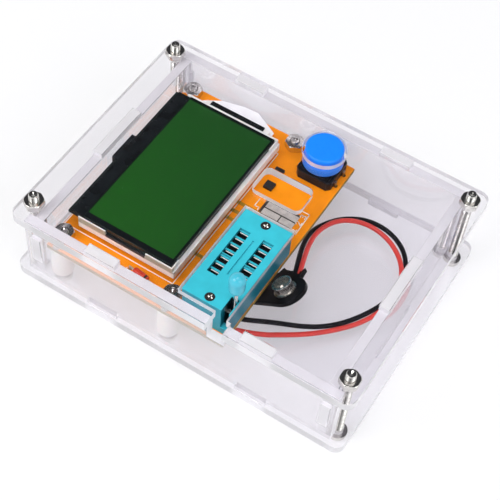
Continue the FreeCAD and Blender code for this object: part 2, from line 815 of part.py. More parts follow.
def make_button():
    """Write the push switch and its cap."""
    half = switch_width / 2
    z_plate = z_top + switch_height
    z_neck = z_plate + plate_thickness + neck_rise
    body = box(switch_x - half, switch_x + half, switch_y - half, switch_y + half, z_top, z_plate)
    upright = [e for e in body.Edges if abs(e.Vertexes[0].Z - e.Vertexes[1].Z) > switch_height / 2]
    body = body.makeChamfer(switch_corner, upright)
    save("switch_base", [body.cut(disc(switch_x, switch_y, z_top + switch_floor, z_plate, switch_cavity))])
    half = plate_width / 2
    plate = box(switch_x - half, switch_x + half, switch_y - half, switch_y + half, z_plate, z_plate + plate_thickness)
    hole = disc(switch_x, switch_y, z_plate, z_plate + plate_thickness, plunger_neck + 2 * plunger_gap)
    save("switch_plate", [plate.cut(hole)])
    floor = z_top + switch_floor
    radius = (dome_diameter ** 2 / 4 + dome_height ** 2) / (2 * dome_height)
    centre = V(switch_x, switch_y, floor + dome_height - radius)
    shell = Part.makeSphere(radius, centre).cut(Part.makeSphere(radius - dome_thickness, centre))
    save("switch_dome", [shell.common(disc(switch_x, switch_y, floor, floor + dome_height, dome_diameter))])
    z_flange = z_plate - plunger_seat_gap
    nub = floor + dome_height + press_travel + press_room
    post = post_width / 2
    save("switch_plunger", [join([
        disc(switch_x, switch_y, nub, z_flange - plunger_flange_height, nub_diameter),
        disc(switch_x, switch_y, z_flange - plunger_flange_height, z_flange, plunger_flange),
        disc(switch_x, switch_y, z_flange, z_neck, plunger_neck),
        box(switch_x - post, switch_x + post, switch_y - post, switch_y + post, z_neck, z_neck + post_height)])])
    legs = []
    rise = z_top + terminal_rise
    for sx, x, y in terminal_points():
        thin = terminal_thickness / 2
        wide = terminal_width / 2
        face = switch_x + sx * switch_width / 2
        ends = sorted((face, x + sx * thin))
        legs.append(join([box(x - thin, x + thin, y - wide, y + wide, z_board - terminal_tail, rise),
                          box(ends[0], ends[1], y - wide, y + wide, rise - terminal_thickness, rise)]))
    save("switch_terminals", legs)
    save("button_cap", [button_cap(z_plate + plate_thickness + cap_lift, z_neck + post_height)])


def button_cap(z0, post_top):
    """Return the cap from its lower edge, with a square socket on the plunger's post."""
    z_step = z0 + cap_skirt_height
    z1 = z0 + cap_height
    cap = disc(switch_x, switch_y, z0, z1, cap_diameter)
    cap = cap.makeFillet(cap_rounding, rim_edges(cap, z1, cap_diameter))
    cap = join([cap, disc(switch_x, switch_y, z0, z_step, cap_skirt_diameter)])
    hollow = disc(switch_x, switch_y, z0, z1 - cap_wall, cap_diameter - 2 * cap_wall)
    hollow = hollow.cut(disc(switch_x, switch_y, z0, z1 - cap_wall, cap_boss_diameter))
    half = post_width / 2 + post_gap
    socket = box(switch_x - half, switch_x + half, switch_y - half, switch_y + half, z0, post_top + post_gap)
    return cap.cut([hollow, socket])


def chip(x, y, width, depth, height):
    """Return a small block standing on the board."""
    return box(x - width / 2, x + width / 2, y - depth / 2, y + depth / 2, z_top, z_top + height)


def make_small_parts():
    """Write the test pads and the parts soldered to the board."""
    middle = (pad_left + pad_right) / 2 + pad_split_shift
    back = pad_front + pad_width + pad_gap
    z1 = z_top + pad_thickness
    save("test_pads", [box(pad_left, middle - pad_split / 2, pad_front, pad_front + pad_width, z_top, z1),
                       box(middle + pad_split / 2, pad_right, pad_front, pad_front + pad_width, z_top, z1),
                       box(pad_left, pad_right, back, back + pad_width, z_top, z1)])
    chip_x = test_window_x - test_window_width / 2 + chip_window_left
    chip_y = test_window_back + chip_window_back
    save("reference_chip", [chip(chip_x, chip_y, chip_width, chip_depth, chip_height)])
    transistor_y = chip_y + chip_depth / 2 + transistor_gap + transistor_depth / 2
    save("power_transistor", [chip(chip_x, transistor_y, chip_width, transistor_depth, chip_height)])
    x = lcd_x
    y = lcd_y - controller_shift
    chips = [chip(x, y, controller_width, controller_width, controller_height)]
    first = -controller_pitch * (controller_pins - 1) / 2
    near = controller_width / 2
    for k in range(controller_pins):
        at = first + k * controller_pitch
        for side in (-1, 1):
            ends = sorted((side * near, side * (near + pin_reach)))
            low = z_top + pin_thickness
            chips.append(box(x + ends[0], x + ends[1], y + at - pin_width / 2, y + at + pin_width / 2, z_top, low))
            chips.append(box(x + at - pin_width / 2, x + at + pin_width / 2, y + ends[0], y + ends[1], z_top, low))
    save("microcontroller", chips)
    crystal_y = y + near + pin_reach + crystal_gap
    save("crystal", [chip(x, crystal_y, crystal_width, crystal_depth, crystal_height)])
    regulator_x = x + near + pin_reach + regulator_side_gap
    save("voltage_regulator", [chip(regulator_x, y, regulator_width, regulator_depth, regulator_height)])
    row = crystal_y + crystal_depth / 2 + chip_row_gap
    start = x - chip_part_pitch * (resistor_count - 1) / 2
    save("chip_resistors", [chip(start + k * chip_part_pitch, row, chip_part_length, chip_part_width, chip_part_height)
                            for k in range(resistor_count)])
    row = y - near - pin_reach - chip_row_gap
    start = x - chip_part_pitch * (capacitor_count - 1) / 2
    save("chip_capacitors", [chip(start + k * chip_part_pitch, row, chip_part_length, chip_part_width,
                                  chip_part_height) for k in range(capacitor_count)])
    make_diode()


def make_diode():
    """Write the glass diode and its two bent leads."""
    z = z_top + diode_lift + diode_diameter / 2
    turn = math.radians(diode_turn)
    along = V(math.cos(turn), math.sin(turn), 0)
    half = diode_length / 2
    x, y = diode_place(-half, 0)
    save("diode_body", [Part.makeCylinder(diode_diameter / 2, diode_length, V(x, y, z), along)])
    leads = []
    for side in (-1, 1):
        x, y = diode_place(side * half, 0)
        ex, ey = diode_place(side * (half + diode_lead_reach), 0)
        leads.append(join([Part.makeCylinder(diode_lead / 2, diode_lead_reach, V(x, y, z), along * side),
                           Part.makeSphere(diode_lead / 2, V(ex, ey, z)),
                           disc(ex, ey, z_board - diode_lead_tail, z, diode_lead)]))
    save("diode_leads", leads)


def snap_point(u, n, h):
    """Return a point of the leaning snap: along it, across it and above its plate from the stud's foot."""
    tilt = math.radians(snap_tilt)
    return V(snap_x + u * math.cos(tilt) - h * math.sin(tilt), snap_y + n,
             snap_z + u * math.sin(tilt) + h * math.cos(tilt))


def leaned(shape):
    """Return a piece of the snap, drawn flat about the stud's foot, at its leaning place."""
    shape.rotate(V(0, 0, 0), V(0, 1, 0), -snap_tilt)
    shape.translate(snap_point(0, 0, 0))
    return shape


def make_snap():
    """Write the battery snap: the soft shell, the stud and the clasp."""
    low = -snap_thickness
    first = -snap_pitch - snap_end
    shell = join([disc(snap_end, 0, low, 0, 2 * snap_radius), disc(first, 0, low, 0, 2 * snap_radius),
                  box(first, snap_end, -snap_radius, snap_radius, low, 0)])
    shell = shell.makeFillet(snap_rounding, [e for e in shell.Edges if e.BoundBox.ZMin > -snap_rounding])
    save("snap_shell", [leaned(join([shell, prism(lug_outline, low, 0)]))])
    z1 = stud_flange_height
    z2 = z1 + stud_height
    rim = stud_diameter + 2 * stud_bead
    stud = join([disc(0, 0, 0, z1, stud_flange), disc(0, 0, z1, z2, stud_diameter),
                 disc(0, 0, z2 - 2 * stud_bead, z2, rim)])
    stud = stud.makeFillet(stud_bead, rim_edges(stud, z2, rim))
    save("snap_stud", [leaned(stud.cut(disc(0, 0, z1, z2, stud_diameter - 2 * stud_wall)))])
    clasp = disc(-snap_pitch, 0, 0, clasp_height, clasp_diameter)
    cuts = [disc(-snap_pitch, 0, clasp_wall, clasp_height, clasp_diameter - 2 * clasp_wall)]
    for k in range(clasp_slots // 2):
        bar = box(-clasp_diameter, clasp_diameter, -clasp_slot_width / 2, clasp_slot_width / 2,
                  clasp_wall, clasp_height)
        bar.rotate(V(0, 0, 0), V(0, 0, 1), 360.0 * k / clasp_slots)
        bar.translate(V(-snap_pitch, 0, 0))
        cuts.append(bar)
    save("snap_socket", [leaned(clasp.cut(cuts))])


def lead(name, points):
    """Write one lead: straight runs joined by tangent arcs as large as the runs allow."""
    edges = []
    radii = []
    at = points[0]
    for before, corner, after in zip(points, points[1:], points[2:]):
        u = (corner - before).normalize()
        w = (after - corner).normalize()
        half = math.acos(max(-1.0, min(1.0, u.dot(w)))) / 2
        reach = lead_arc_share * min((corner - before).Length, (after - corner).Length)
        radius = reach / math.tan(half)
        inward = (w - u).normalize()
        start = corner - u * reach
        end = corner + w * reach
        middle = corner + inward * (radius / math.cos(half) - radius)
        edges.append(Part.LineSegment(at, start).toShape())
        edges.append(Part.Arc(start, middle, end).toShape())
        radii.append(radius)
        at = end
    edges.append(Part.LineSegment(at, points[-1]).toShape())
    path = Part.Wire(edges)
    ring = Part.makeCircle(lead_diameter / 2, points[0], points[1] - points[0])
    tube = path.makePipeShell([Part.Wire([ring])], True, False)
    area = math.pi * lead_diameter ** 2 / 4
    print(name, "length %.1f" % path.Length, "radii", " ".join("%.1f" % r for r in radii),
          "volume share %.4f" % (tube.Volume / (area * path.Length)))
    save(name, [tube])


def make_leads():
    """Write the two leads and their solder joints under the board."""
    corner = V(board_right, board_front, z_board)
    joints = []
    for name, start, route, end in (("black_lead", black_start, black_route, black_end),
                                    ("red_lead", red_start, red_route, red_end)):
        first = snap_point(start[0], start[1], -snap_thickness / 2)
        points = [first] + [V(*p) for p in route] + [corner + V(*p) for p in end]
        lead(name, points)
        joints.append(disc(points[-1].x, points[-1].y, z_board - solder_height, z_board, solder_diameter))
    save("lead_solder", joints)


os.makedirs("parts", exist_ok=True)
make_case()
make_board()
make_display()
make_socket()
make_button()
make_small_parts()
make_snap()
make_leads()
print("case", case_width, case_depth, z_lid, "stroke", slider_stroke, "pivot", lever_x, lever_y, lever_z)
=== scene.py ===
"""Dressed scene of a component tester in a clear acrylic case.

Sizes are in millimetres, MM turns them into metres, and a name that ends in _m holds metres.
"""

import logging
import math
from dataclasses import dataclass
from enum import Enum
from functools import cached_property
from typing import Any, ClassVar, Iterable, Sequence

import bmesh
import bpy
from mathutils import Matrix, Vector


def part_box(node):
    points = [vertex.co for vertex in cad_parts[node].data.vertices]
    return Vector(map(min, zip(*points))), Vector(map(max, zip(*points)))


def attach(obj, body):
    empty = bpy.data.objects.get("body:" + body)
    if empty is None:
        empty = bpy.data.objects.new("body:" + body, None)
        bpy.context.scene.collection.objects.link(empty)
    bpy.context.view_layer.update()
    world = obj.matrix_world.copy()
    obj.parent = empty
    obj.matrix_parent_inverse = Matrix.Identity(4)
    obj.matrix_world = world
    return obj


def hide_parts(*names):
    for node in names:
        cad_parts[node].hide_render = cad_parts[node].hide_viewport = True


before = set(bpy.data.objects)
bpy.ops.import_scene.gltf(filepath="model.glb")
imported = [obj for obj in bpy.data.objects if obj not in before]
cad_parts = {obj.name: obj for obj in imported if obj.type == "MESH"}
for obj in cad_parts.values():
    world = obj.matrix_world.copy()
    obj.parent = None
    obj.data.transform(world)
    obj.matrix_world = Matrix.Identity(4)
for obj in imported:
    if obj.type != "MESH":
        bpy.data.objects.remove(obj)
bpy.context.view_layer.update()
LOG = logging.getLogger("tester")
MM = 0.001
TOUCH_M = 1e-6
WELD_M = 1e-7
FLAT_ANGLE = math.radians(0.4)

Colour = tuple[float, float, float, float]
Sides = tuple[float, float, float, float]
Point = tuple[float, float, float]
Spot = tuple[float, float]
Settings = dict[str, Any]
Inputs = dict[int | str, Any]
Shape = bmesh.types.BMesh
Piece = bpy.types.Object


def rgb(red: float, green: float, blue: float) -> Colour:
    """Return an opaque colour from its three linear parts."""
    return (red, green, blue, 1.0)


def scaled(colour: Colour, share: float) -> Colour:
    """Return a colour made darker or lighter by a share."""
    return rgb(*(min(1.0, part * share) for part in colour[:3]))


WHITE = rgb(1.0, 1.0, 1.0)


class Axis(Enum):
    """The three directions of the shared frame."""

    X = 0
    Y = 1
    Z = 2


class Sock:
    """A node output that takes part in Python expressions."""

    def __init__(self, graph: "Graph", socket: bpy.types.NodeSocket) -> None:
        """Keep the graph and the socket."""
        self.graph = graph
        self.socket = socket

    def maths(self, operation: str, first: Any, second: Any = 0.0) -> "Sock":
        """Add one Math node and return its value."""
        return self.graph.out("ShaderNodeMath", {"operation": operation}, {0: first, 1: second})

    def __add__(self, other: Any) -> "Sock":
        """Add a value."""
        return self.maths("ADD", self, other)

    def __radd__(self, other: Any) -> "Sock":
        """Add to a value."""
        return self.maths("ADD", other, self)

    def __sub__(self, other: Any) -> "Sock":
        """Take a value away."""
        return self.maths("SUBTRACT", self, other)

    def __rsub__(self, other: Any) -> "Sock":
        """Take this away from a value."""
        return self.maths("SUBTRACT", other, self)

    def __mul__(self, other: Any) -> "Sock":
        """Multiply by a value."""
        return self.maths("MULTIPLY", self, other)

    def __rmul__(self, other: Any) -> "Sock":
        """Multiply a value by this."""
        return self.maths("MULTIPLY", other, self)

    def __gt__(self, other: Any) -> "Sock":
        """Return 1 where this is above a value."""
        return self.maths("GREATER_THAN", self, other)

    def __lt__(self, other: Any) -> "Sock":
        """Return 1 where this is below a value."""
        return self.maths("LESS_THAN", self, other)

    def __abs__(self) -> "Sock":
        """Return the size without the sign."""
        return self.maths("ABSOLUTE", self)

    def most(self, other: Any) -> "Sock":
        """Return the larger of two values."""
        return self.maths("MAXIMUM", self, other)

    def between(self, low: float, high: float) -> "Sock":
        """Return 1 where this lies between two values."""
        return (self > low) * (self < high)

    def ease(self, low: float, high: float) -> "Sock":
        """Return a smooth step from 0 at one value to 1 at another."""
        return self.graph.out("ShaderNodeMapRange", {"interpolation_type": "SMOOTHSTEP"},
                              {"Value": self, "From Min": low, "From Max": high})


class Graph:
    """A node tree with short calls that add its nodes."""

    def __init__(self, tree: bpy.types.NodeTree) -> None:
        """Empty the tree and keep it."""
        self.tree = tree
        tree.nodes.clear()

    def node(self, kind: str, settings: Settings | None = None,
             inputs: Inputs | None = None) -> bpy.types.Node:
        """Add any node.

        Args:
            kind: The node's type.
            settings: Its properties, set first.
            inputs: Values or links of its sockets by name or number.

        Returns:
            The node.
        """
        made = self.tree.nodes.new(kind)
        for name, value in (settings or {}).items():
            setattr(made, name, value)
        for key, value in (inputs or {}).items():
            if isinstance(value, Sock):
                self.tree.links.new(value.socket, made.inputs[key])
            else:
                made.inputs[key].default_value = value
        return made

    def out(self, kind: str, settings: Settings | None = None,
            inputs: Inputs | None = None, output: int | str = 0) -> Sock:
        """Add any node and return one of its outputs by name or number."""
        return Sock(self, self.node(kind, settings, inputs).outputs[output])

    def place(self) -> Sock:
        """Return the place on the piece in millimetres."""
        where = self.out("ShaderNodeTexCoord", output="Object")
        return self.out("ShaderNodeVectorMath", {"operation": "SCALE"},
                        {0: where, "Scale": 1.0 / MM})

    def facing(self, axis: Axis) -> Sock:
        """Return how squarely the surface faces along an axis, from 0 to 1."""
        return abs(self.part(self.out("ShaderNodeTexCoord", output="Normal"), axis))

    def part(self, vector: Sock, axis: Axis) -> Sock:
        """Return one part of a vector."""
        return self.out("ShaderNodeSeparateXYZ", None, {0: vector}, axis.value)

    def rays(self, *kinds: str) -> list[Sock]:
        """Return outputs of one Light Path node, which tell how a ray came."""
        path = self.node("ShaderNodeLightPath")
        return [Sock(self, path.outputs[kind]) for kind in kinds]

    def stretch(self, vector: Sock, by: Point) -> Sock:
        """Return a vector with its parts multiplied."""
        return self.out("ShaderNodeVectorMath", {"operation": "MULTIPLY"}, {0: vector, 1: by})

    def noise(self, vector: Sock, waves: float, detail: float = 3.0) -> Sock:
        """Return noise from 0 to 1 with so many waves per millimetre."""
        return self.out("ShaderNodeTexNoise", None,
                        {"Vector": vector, "Scale": waves, "Detail": detail})

    def mix(self, factor: Any, first: Any, second: Any) -> Sock:
        """Return a blend of two colours."""
        return self.out("ShaderNodeMix", {"data_type": "RGBA"},
                        {0: factor, 6: first, 7: second}, 2)

    def bump(self, height: Sock, depth: float, strength: float) -> Sock:
        """Return a normal raised by a height, with the depth in millimetres."""
        return self.out("ShaderNodeBump", None,
                        {"Height": height, "Distance": depth * MM, "Strength": strength}, "Normal")

    def shader(self, **inputs: Any) -> Sock:
        """Add the main shader, with underscores for the spaces in its socket names."""
        return self.out("ShaderNodeBsdfPrincipled", None,
                        {name.replace("_", " "): value for name, value in inputs.items()})

    def blend(self, factor: Any, first: Sock, second: Sock) -> Sock:
        """Return a blend of two shaders."""
        return self.out("ShaderNodeMixShader", None, {0: factor, 1: first, 2: second})

    def finish(self, shader: Sock, kind: str = "ShaderNodeOutputMaterial") -> None:
        """Show a shader on the surface."""
        self.node(kind, None, {"Surface": shader})


@dataclass(frozen=True)
class Finish:
    """A named surface that makes its material once."""

    name: str

    def material(self) -> bpy.types.Material:
        """Paint the material on first use.

        Returns:
            The material.
        """
        made = bpy.data.materials.get(self.name)
        if made is None:
            made = bpy.data.materials.new(self.name)
            made.use_nodes = True
            self.paint(Graph(made.node_tree))
        return made

    def paint(self, graph: Graph) -> None:
        """Add the finish's nodes to an empty tree."""
        raise NotImplementedError


@dataclass(frozen=True)
class Acrylic(Finish):
    """Clear polished sheet whose laser-cut edges are pale and finely streaked."""

    axis: Axis
    tint: Colour = rgb(0.955, 0.945, 0.968)
    cut: Colour = rgb(0.97, 0.96, 0.98)
    cut_roughness: float = 0.22
    cut_clearness: float = 0.2
    frosting: float = 0.35
    edge_turn: Spot = (0.05, 0.6)
    edge_cover: float = 0.92
    veil: float = 0.0
    rubbing: float = 0.03
    streaks: Spot = (0.25, 5.0)
    index: float = 1.49
    light_share: float = 0.93

    def paint(self, graph: Graph) -> None:
        """Blend clear faces with streaked edges, and let the light through.

        Args:
            graph: The empty tree.
        """
        place = graph.place()
        edge = (1.0 - graph.facing(self.axis)).ease(*self.edge_turn)
        rubbed = graph.noise(place, waves=0.35, detail=4.0).ease(0.55, 0.8)
        across, along = self.streaks
        stretch = tuple(across if axis is self.axis else along for axis in Axis)
        lines = graph.noise(graph.stretch(place, stretch), waves=1.0, detail=2.0)
        face = graph.shader(Base_Color=self.tint, Roughness=rubbed * self.rubbing, IOR=self.index,
                            Transmission_Weight=1.0)
        rim = graph.shader(Base_Color=graph.mix(lines, scaled(self.cut, 0.9), self.cut),
                           Roughness=self.cut_roughness, IOR=self.index,
                           Transmission_Weight=self.cut_clearness,
                           Normal=graph.bump(lines, depth=0.05, strength=0.5))
        haze = graph.out("ShaderNodeBsdfTranslucent", None, {"Color": self.cut})
        cover = edge * (self.edge_cover - self.veil) + self.veil
        sheet = graph.blend(cover, face, graph.blend(self.frosting, rim, haze))
        clear = graph.out("ShaderNodeBsdfTransparent", None, {"Color": self.tint})
        (shadow,) = graph.rays("Is Shadow Ray")
        graph.finish(graph.blend(shadow * self.light_share, sheet, clear))


@dataclass(frozen=True)
class Metal(Finish):
    """Plated or tinned metal with fine brushing and a little dulling."""

    colour: Colour
    roughness: float = 0.2
    dulling: float = 0.18
    brushing: Point = (1.0, 1.0, 9.0)
    relief: float = 0.01
    metallic: float = 1.0
    streak_roughness: float = 0.16
    cloud_roughness: float = 0.08

    def paint(self, graph: Graph) -> None:
        """Add brushed streaks and cloudy dulling.

        Args:
            graph: The empty tree.
        """
        place = graph.place()
        streak = graph.noise(graph.stretch(place, self.brushing), waves=2.0)
        cloud = graph.noise(place, waves=0.7)
        dull = scaled(self.colour, 1.0 - self.dulling)
        roughness = (self.roughness + (streak - 0.5) * self.streak_roughness
                     + cloud.ease(0.5, 0.8) * self.cloud_roughness)
        graph.finish(graph.shader(Base_Color=graph.mix(cloud.ease(0.35, 0.7), self.colour, dull),
                                  Metallic=self.metallic, Roughness=roughness,
                                  Normal=graph.bump(streak, self.relief, strength=0.4)))


@dataclass(frozen=True)
class Contact(Finish):
    """Sprung tin strips with a painted highlight on the top edge and painted shade on the flanks.
    """

    # Tin colour brightened into a painted highlight on the top edge.
    edge: Colour = rgb(0.95, 0.93, 0.90)
    # Painted shade on the flanks.
    flank_shade: Colour = rgb(0.012, 0.012, 0.013)
    roughness: float = 0.5
    cloud_roughness: float = 0.2
    metallic: float = 0.1

    def paint(self, graph: Graph) -> None:
        """Blend the top edge's painted highlight with the flanks' painted shade, both a little
        cloudy.

        Args:
            graph: The empty tree.
        """
        cloud = graph.noise(graph.place(), waves=1.5)
        # Painted highlight on upward faces, painted shade on the others.
        top = graph.facing(Axis.Z).ease(0.4, 0.8)
        flank_shade = graph.mix(cloud, self.flank_shade, scaled(self.flank_shade, 2.0))
        edge = graph.mix(cloud, scaled(self.edge, 0.85), self.edge)
        graph.finish(graph.shader(Base_Color=graph.mix(top, flank_shade, edge), Metallic=self.metallic,
                                  Roughness=self.roughness + self.cloud_roughness * cloud))


@dataclass(frozen=True)
class Plastic(Finish):
    """Moulded plastic with a fine grain and a faint drift of colour."""

    colour: Colour
    roughness: float = 0.4
    grain: float = 0.14
    grain_roughness: float = 0.2
    relief: float = 0.012
    drift: float = 0.1
    drift_waves: float = 0.22
    coat: float = 0.0
    clear: float = 0.0
    scatter: float = 0.0
    scatter_reach: float = 1.5
    gloss: float = 0.5

    def paint(self, graph: Graph) -> None:
        """Add the grain to the relief and the roughness, and the drift to the colour.

        Args:
            graph: The empty tree.
        """
        place = graph.place()
        grain = graph.noise(place, 1.0 / self.grain)
        graph.finish(graph.shader(
            Base_Color=self.tone(graph, place),
            Roughness=self.roughness + (grain - 0.5) * self.grain_roughness,
            Coat_Weight=self.coat, Transmission_Weight=self.clear, Specular_IOR_Level=self.gloss,
            Subsurface_Weight=self.scatter, Subsurface_Scale=self.scatter_reach * MM,
            Normal=graph.bump(grain, self.relief, strength=0.6)))

    def tone(self, graph: Graph, place: Sock) -> Sock:
        """Return the drifting colour at a place."""
        cloud = graph.noise(place, self.drift_waves).ease(0.3, 0.7)
        return graph.mix(cloud, scaled(self.colour, 1.0 - self.drift),
                         scaled(self.colour, 1.0 + self.drift))


@dataclass(frozen=True)
class SocketPlastic(Plastic):
    """Moulded plastic with painted shade down its walls and a painted shadow in the lever's slot.
    """

    top: float = 29.0
    slot: Sides = (11.2, 13.9, -33.2, -29.6)
    slot_depth: Spot = (0.2, 0.8)
    slot_shade_share: float = 0.95
    wall_depth: Spot = (0.0, 0.5)
    wall_shade_share: float = 0.45
    side_shade_share: float = 0.4
    # Painted shade colour down the upright walls.
    deep: Colour = rgb(0.0, 0.10, 0.15)
    # Painted black shadow colour for the lever's slot.
    shadow_black: Colour = rgb(0.003, 0.010, 0.014)

    def tone(self, graph: Graph, place: Sock) -> Sock:
        """Paint shade on the drifting colour by depth.

        Args:
            graph: The tree to add to.
            place: The place on the piece.

        Returns:
            The colour.
        """
        x, y, z = (graph.part(place, axis) for axis in Axis)
        down = self.top - z
        upright = 1.0 - graph.facing(Axis.Z)
        # Painted shade: upright faces below the top darken, those turned along X the most.
        wall_shade = upright * (self.wall_shade_share + self.side_shade_share * graph.facing(Axis.X))
        # Painted black shadow down the lever's slot.
        slot = x.between(*self.slot[:2]) * y.between(*self.slot[2:]) * down.ease(*self.slot_depth)
        shaded_walls = graph.mix(down.ease(*self.wall_depth) * wall_shade, super().tone(graph, place), self.deep)
        return graph.mix(slot * self.slot_shade_share, shaded_walls, self.shadow_black)


@dataclass(frozen=True)
class FramePlastic(Plastic):
    """Pale clouded frame with grey-green lips and a painted shadow in the gap between the front
    ones.
    """

    gap: Spot = (-31.4, -17.9)
    front: float = -28.5
    above: float = 21.6
    lip: Colour = rgb(0.40, 0.38, 0.29)
    # Painted black shadow colour for the gap between the front lips.
    shadow_black: Colour = rgb(0.006, 0.008, 0.009)

    def tone(self, graph: Graph, place: Sock) -> Sock:
        """Darken the drifting colour along the front, with a painted shadow in the gap.

        Args:
            graph: The tree to add to.
            place: The place on the piece.

        Returns:
            The colour.
        """
        x, y, z = (graph.part(place, axis) for axis in Axis)
        front = (y < self.front) * (z > self.above)
        upright = 1.0 - graph.facing(Axis.Z).ease(0.4, 0.8)
        lipped = graph.mix(front * upright, super().tone(graph, place), self.lip)
        # Painted black shadow in the gap between the front lips.
        return graph.mix(front * x.between(*self.gap), lipped, self.shadow_black)


@dataclass(frozen=True)
class BoardCoat(Finish):
    """Orange solder mask over a glass-fibre board with bare sawn edges."""

    mask: Colour = rgb(0.93, 0.285, 0.006)
    fibre: Colour = rgb(0.30, 0.21, 0.05)
    layering: Point = (0.6, 0.6, 9.0)
    bare_roughness: float = 0.62
    mask_smoothing: float = 0.32
    peel_roughness: float = 0.1
    gloss: float = 0.12

    def paint(self, graph: Graph) -> None:
        """Paint the faces orange and the edges as bare laminate.

        Args:
            graph: The empty tree.
        """
        place = graph.place()
        face = graph.facing(Axis.Z).ease(0.4, 0.7)
        cloud = graph.noise(place, waves=0.12).ease(0.3, 0.7)
        peel = graph.noise(place, waves=3.5)
        layers = graph.noise(graph.stretch(place, self.layering), waves=1.0, detail=2.0)
        mask = graph.mix(cloud, scaled(self.mask, 0.88), scaled(self.mask, 1.05))
        bare = graph.mix(layers, scaled(self.fibre, 0.6), scaled(self.fibre, 1.4))
        roughness = (self.bare_roughness - self.mask_smoothing * face
                     + (peel - 0.5) * self.peel_roughness)
        graph.finish(graph.shader(Base_Color=graph.mix(face, bare, mask), Roughness=roughness,
                                  Specular_IOR_Level=self.gloss,
                                  Normal=graph.bump(peel, depth=0.015, strength=0.5)))


@dataclass(frozen=True)
class DisplayFilm(Finish):
    """Satin film: a dark green field inside a black border."""

    field: Sides = (-39.0, -9.95, -26.75, 25.6)
    green: Colour = rgb(0.010, 0.085, 0.008)
    far: Colour = rgb(0.008, 0.062, 0.009)
    border: Colour = rgb(0.004, 0.006, 0.007)
    fade: Spot = (-40.0, 12.0)
    fade_way: Spot = (0.5, 0.6)
    dot: float = 0.42
    dot_line: float = 0.2
    dot_share: float = 0.1
    roughness: float = 0.24
    field_roughness: float = 0.1
    grain_roughness: float = 0.08
    gloss: float = 0.12

    def paint(self, graph: Graph) -> None:
        """Paint the field by its place, with a faint grid of picture dots.

        Args:
            graph: The empty tree.
        """
        place = graph.place()
        x, y = graph.part(place, Axis.X), graph.part(place, Axis.Y)
        inside = x.between(*self.field[:2]) * y.between(*self.field[2:])
        away = (x * self.fade_way[0] + y * self.fade_way[1]).ease(*self.fade)
        columns, rows = (abs(way.maths("SINE", way * (math.pi / self.dot))) < self.dot_line
                         for way in (x, y))
        green = graph.mix(away, self.green, self.far)
        lined = graph.mix(columns.most(rows) * self.dot_share, green, self.border)
        grain = graph.noise(place, waves=9.0, detail=2.0)
        roughness = (self.roughness + self.field_roughness * inside
                     + (grain - 0.5) * self.grain_roughness)
        graph.finish(graph.shader(Base_Color=graph.mix(inside, self.border, lined),
                                  Roughness=roughness, Specular_IOR_Level=self.gloss,
                                  Normal=graph.bump(grain, depth=0.004, strength=0.4)))


@dataclass(frozen=True)
class DiodeGlass(Finish):
    """Red glass bead with a dark ring near one end."""

    centre: Spot = (-16.6, -33.1)
    turn: float = -9.0
    ring: Spot = (1.5, 2.2)
    glass: Colour = rgb(0.62, 0.045, 0.018)
    dark: Colour = rgb(0.03, 0.012, 0.01)
    roughness: float = 0.1
    swirl_roughness: float = 0.1
    coat: float = 0.6

    def paint(self, graph: Graph) -> None:
        """Paint the ring by the distance along the bead.

        Args:
            graph: The empty tree.
        """
        place = graph.place()
        turn = math.radians(self.turn)
        along = ((graph.part(place, Axis.X) - self.centre[0]) * math.cos(turn)
                 + (graph.part(place, Axis.Y) - self.centre[1]) * math.sin(turn))
        swirl = graph.noise(place, waves=1.2, detail=2.0)
        glass = graph.mix(swirl, scaled(self.glass, 0.7), scaled(self.glass, 1.2))
        graph.finish(graph.shader(
            Base_Color=graph.mix(along.between(*self.ring), glass, self.dark),
            Roughness=self.roughness + self.swirl_roughness * swirl, Coat_Weight=self.coat))


@dataclass(frozen=True)
class FloorPaint(Finish):
    """Pale table top that stays white where nothing shades it."""

    colour: Colour = rgb(0.86, 0.86, 0.87)
    glow: float = 0.45
    roughness: float = 0.7
    gloss: float = 0.1

    def paint(self, graph: Graph) -> None:
        """Blend the paint with plain white where it is seen directly, in metal or through glass.

        Args:
            graph: The empty tree.
        """
        grain = graph.noise(graph.place(), waves=0.4)
        paint = graph.shader(Base_Color=graph.mix(grain, scaled(self.colour, 0.99), self.colour),
                             Roughness=self.roughness, Specular_IOR_Level=self.gloss)
        white = graph.out("ShaderNodeEmission", None, {"Color": WHITE, "Strength": 1.0})
        seen, glossy, through = graph.rays("Is Camera Ray", "Is Glossy Ray", "Is Transmission Ray")
        graph.finish(graph.blend(seen.most(glossy).most(through) * self.glow, paint, white))


STEEL = Metal("plated_screws", rgb(0.78, 0.76, 0.73), roughness=0.15)
SNAP_METAL = Metal("snap_metal", rgb(0.72, 0.69, 0.63), roughness=0.27, dulling=0.25)
WIRE_STEEL = Metal("lever_wire", rgb(0.82, 0.81, 0.79), roughness=0.14, dulling=0.1)
TIN = Metal("tinned_metal", rgb(0.70, 0.68, 0.65), roughness=0.28, dulling=0.25,
            brushing=(4.0, 4.0, 4.0))
PAD = Metal("tinned_pads", rgb(0.82, 0.77, 0.70), roughness=0.36, dulling=0.2,
            brushing=(6.0, 1.0, 1.0), metallic=0.5)
SOLDER = Metal("solder", rgb(0.66, 0.65, 0.64), roughness=0.3, dulling=0.3,
               brushing=(3.0, 3.0, 3.0), relief=0.05)
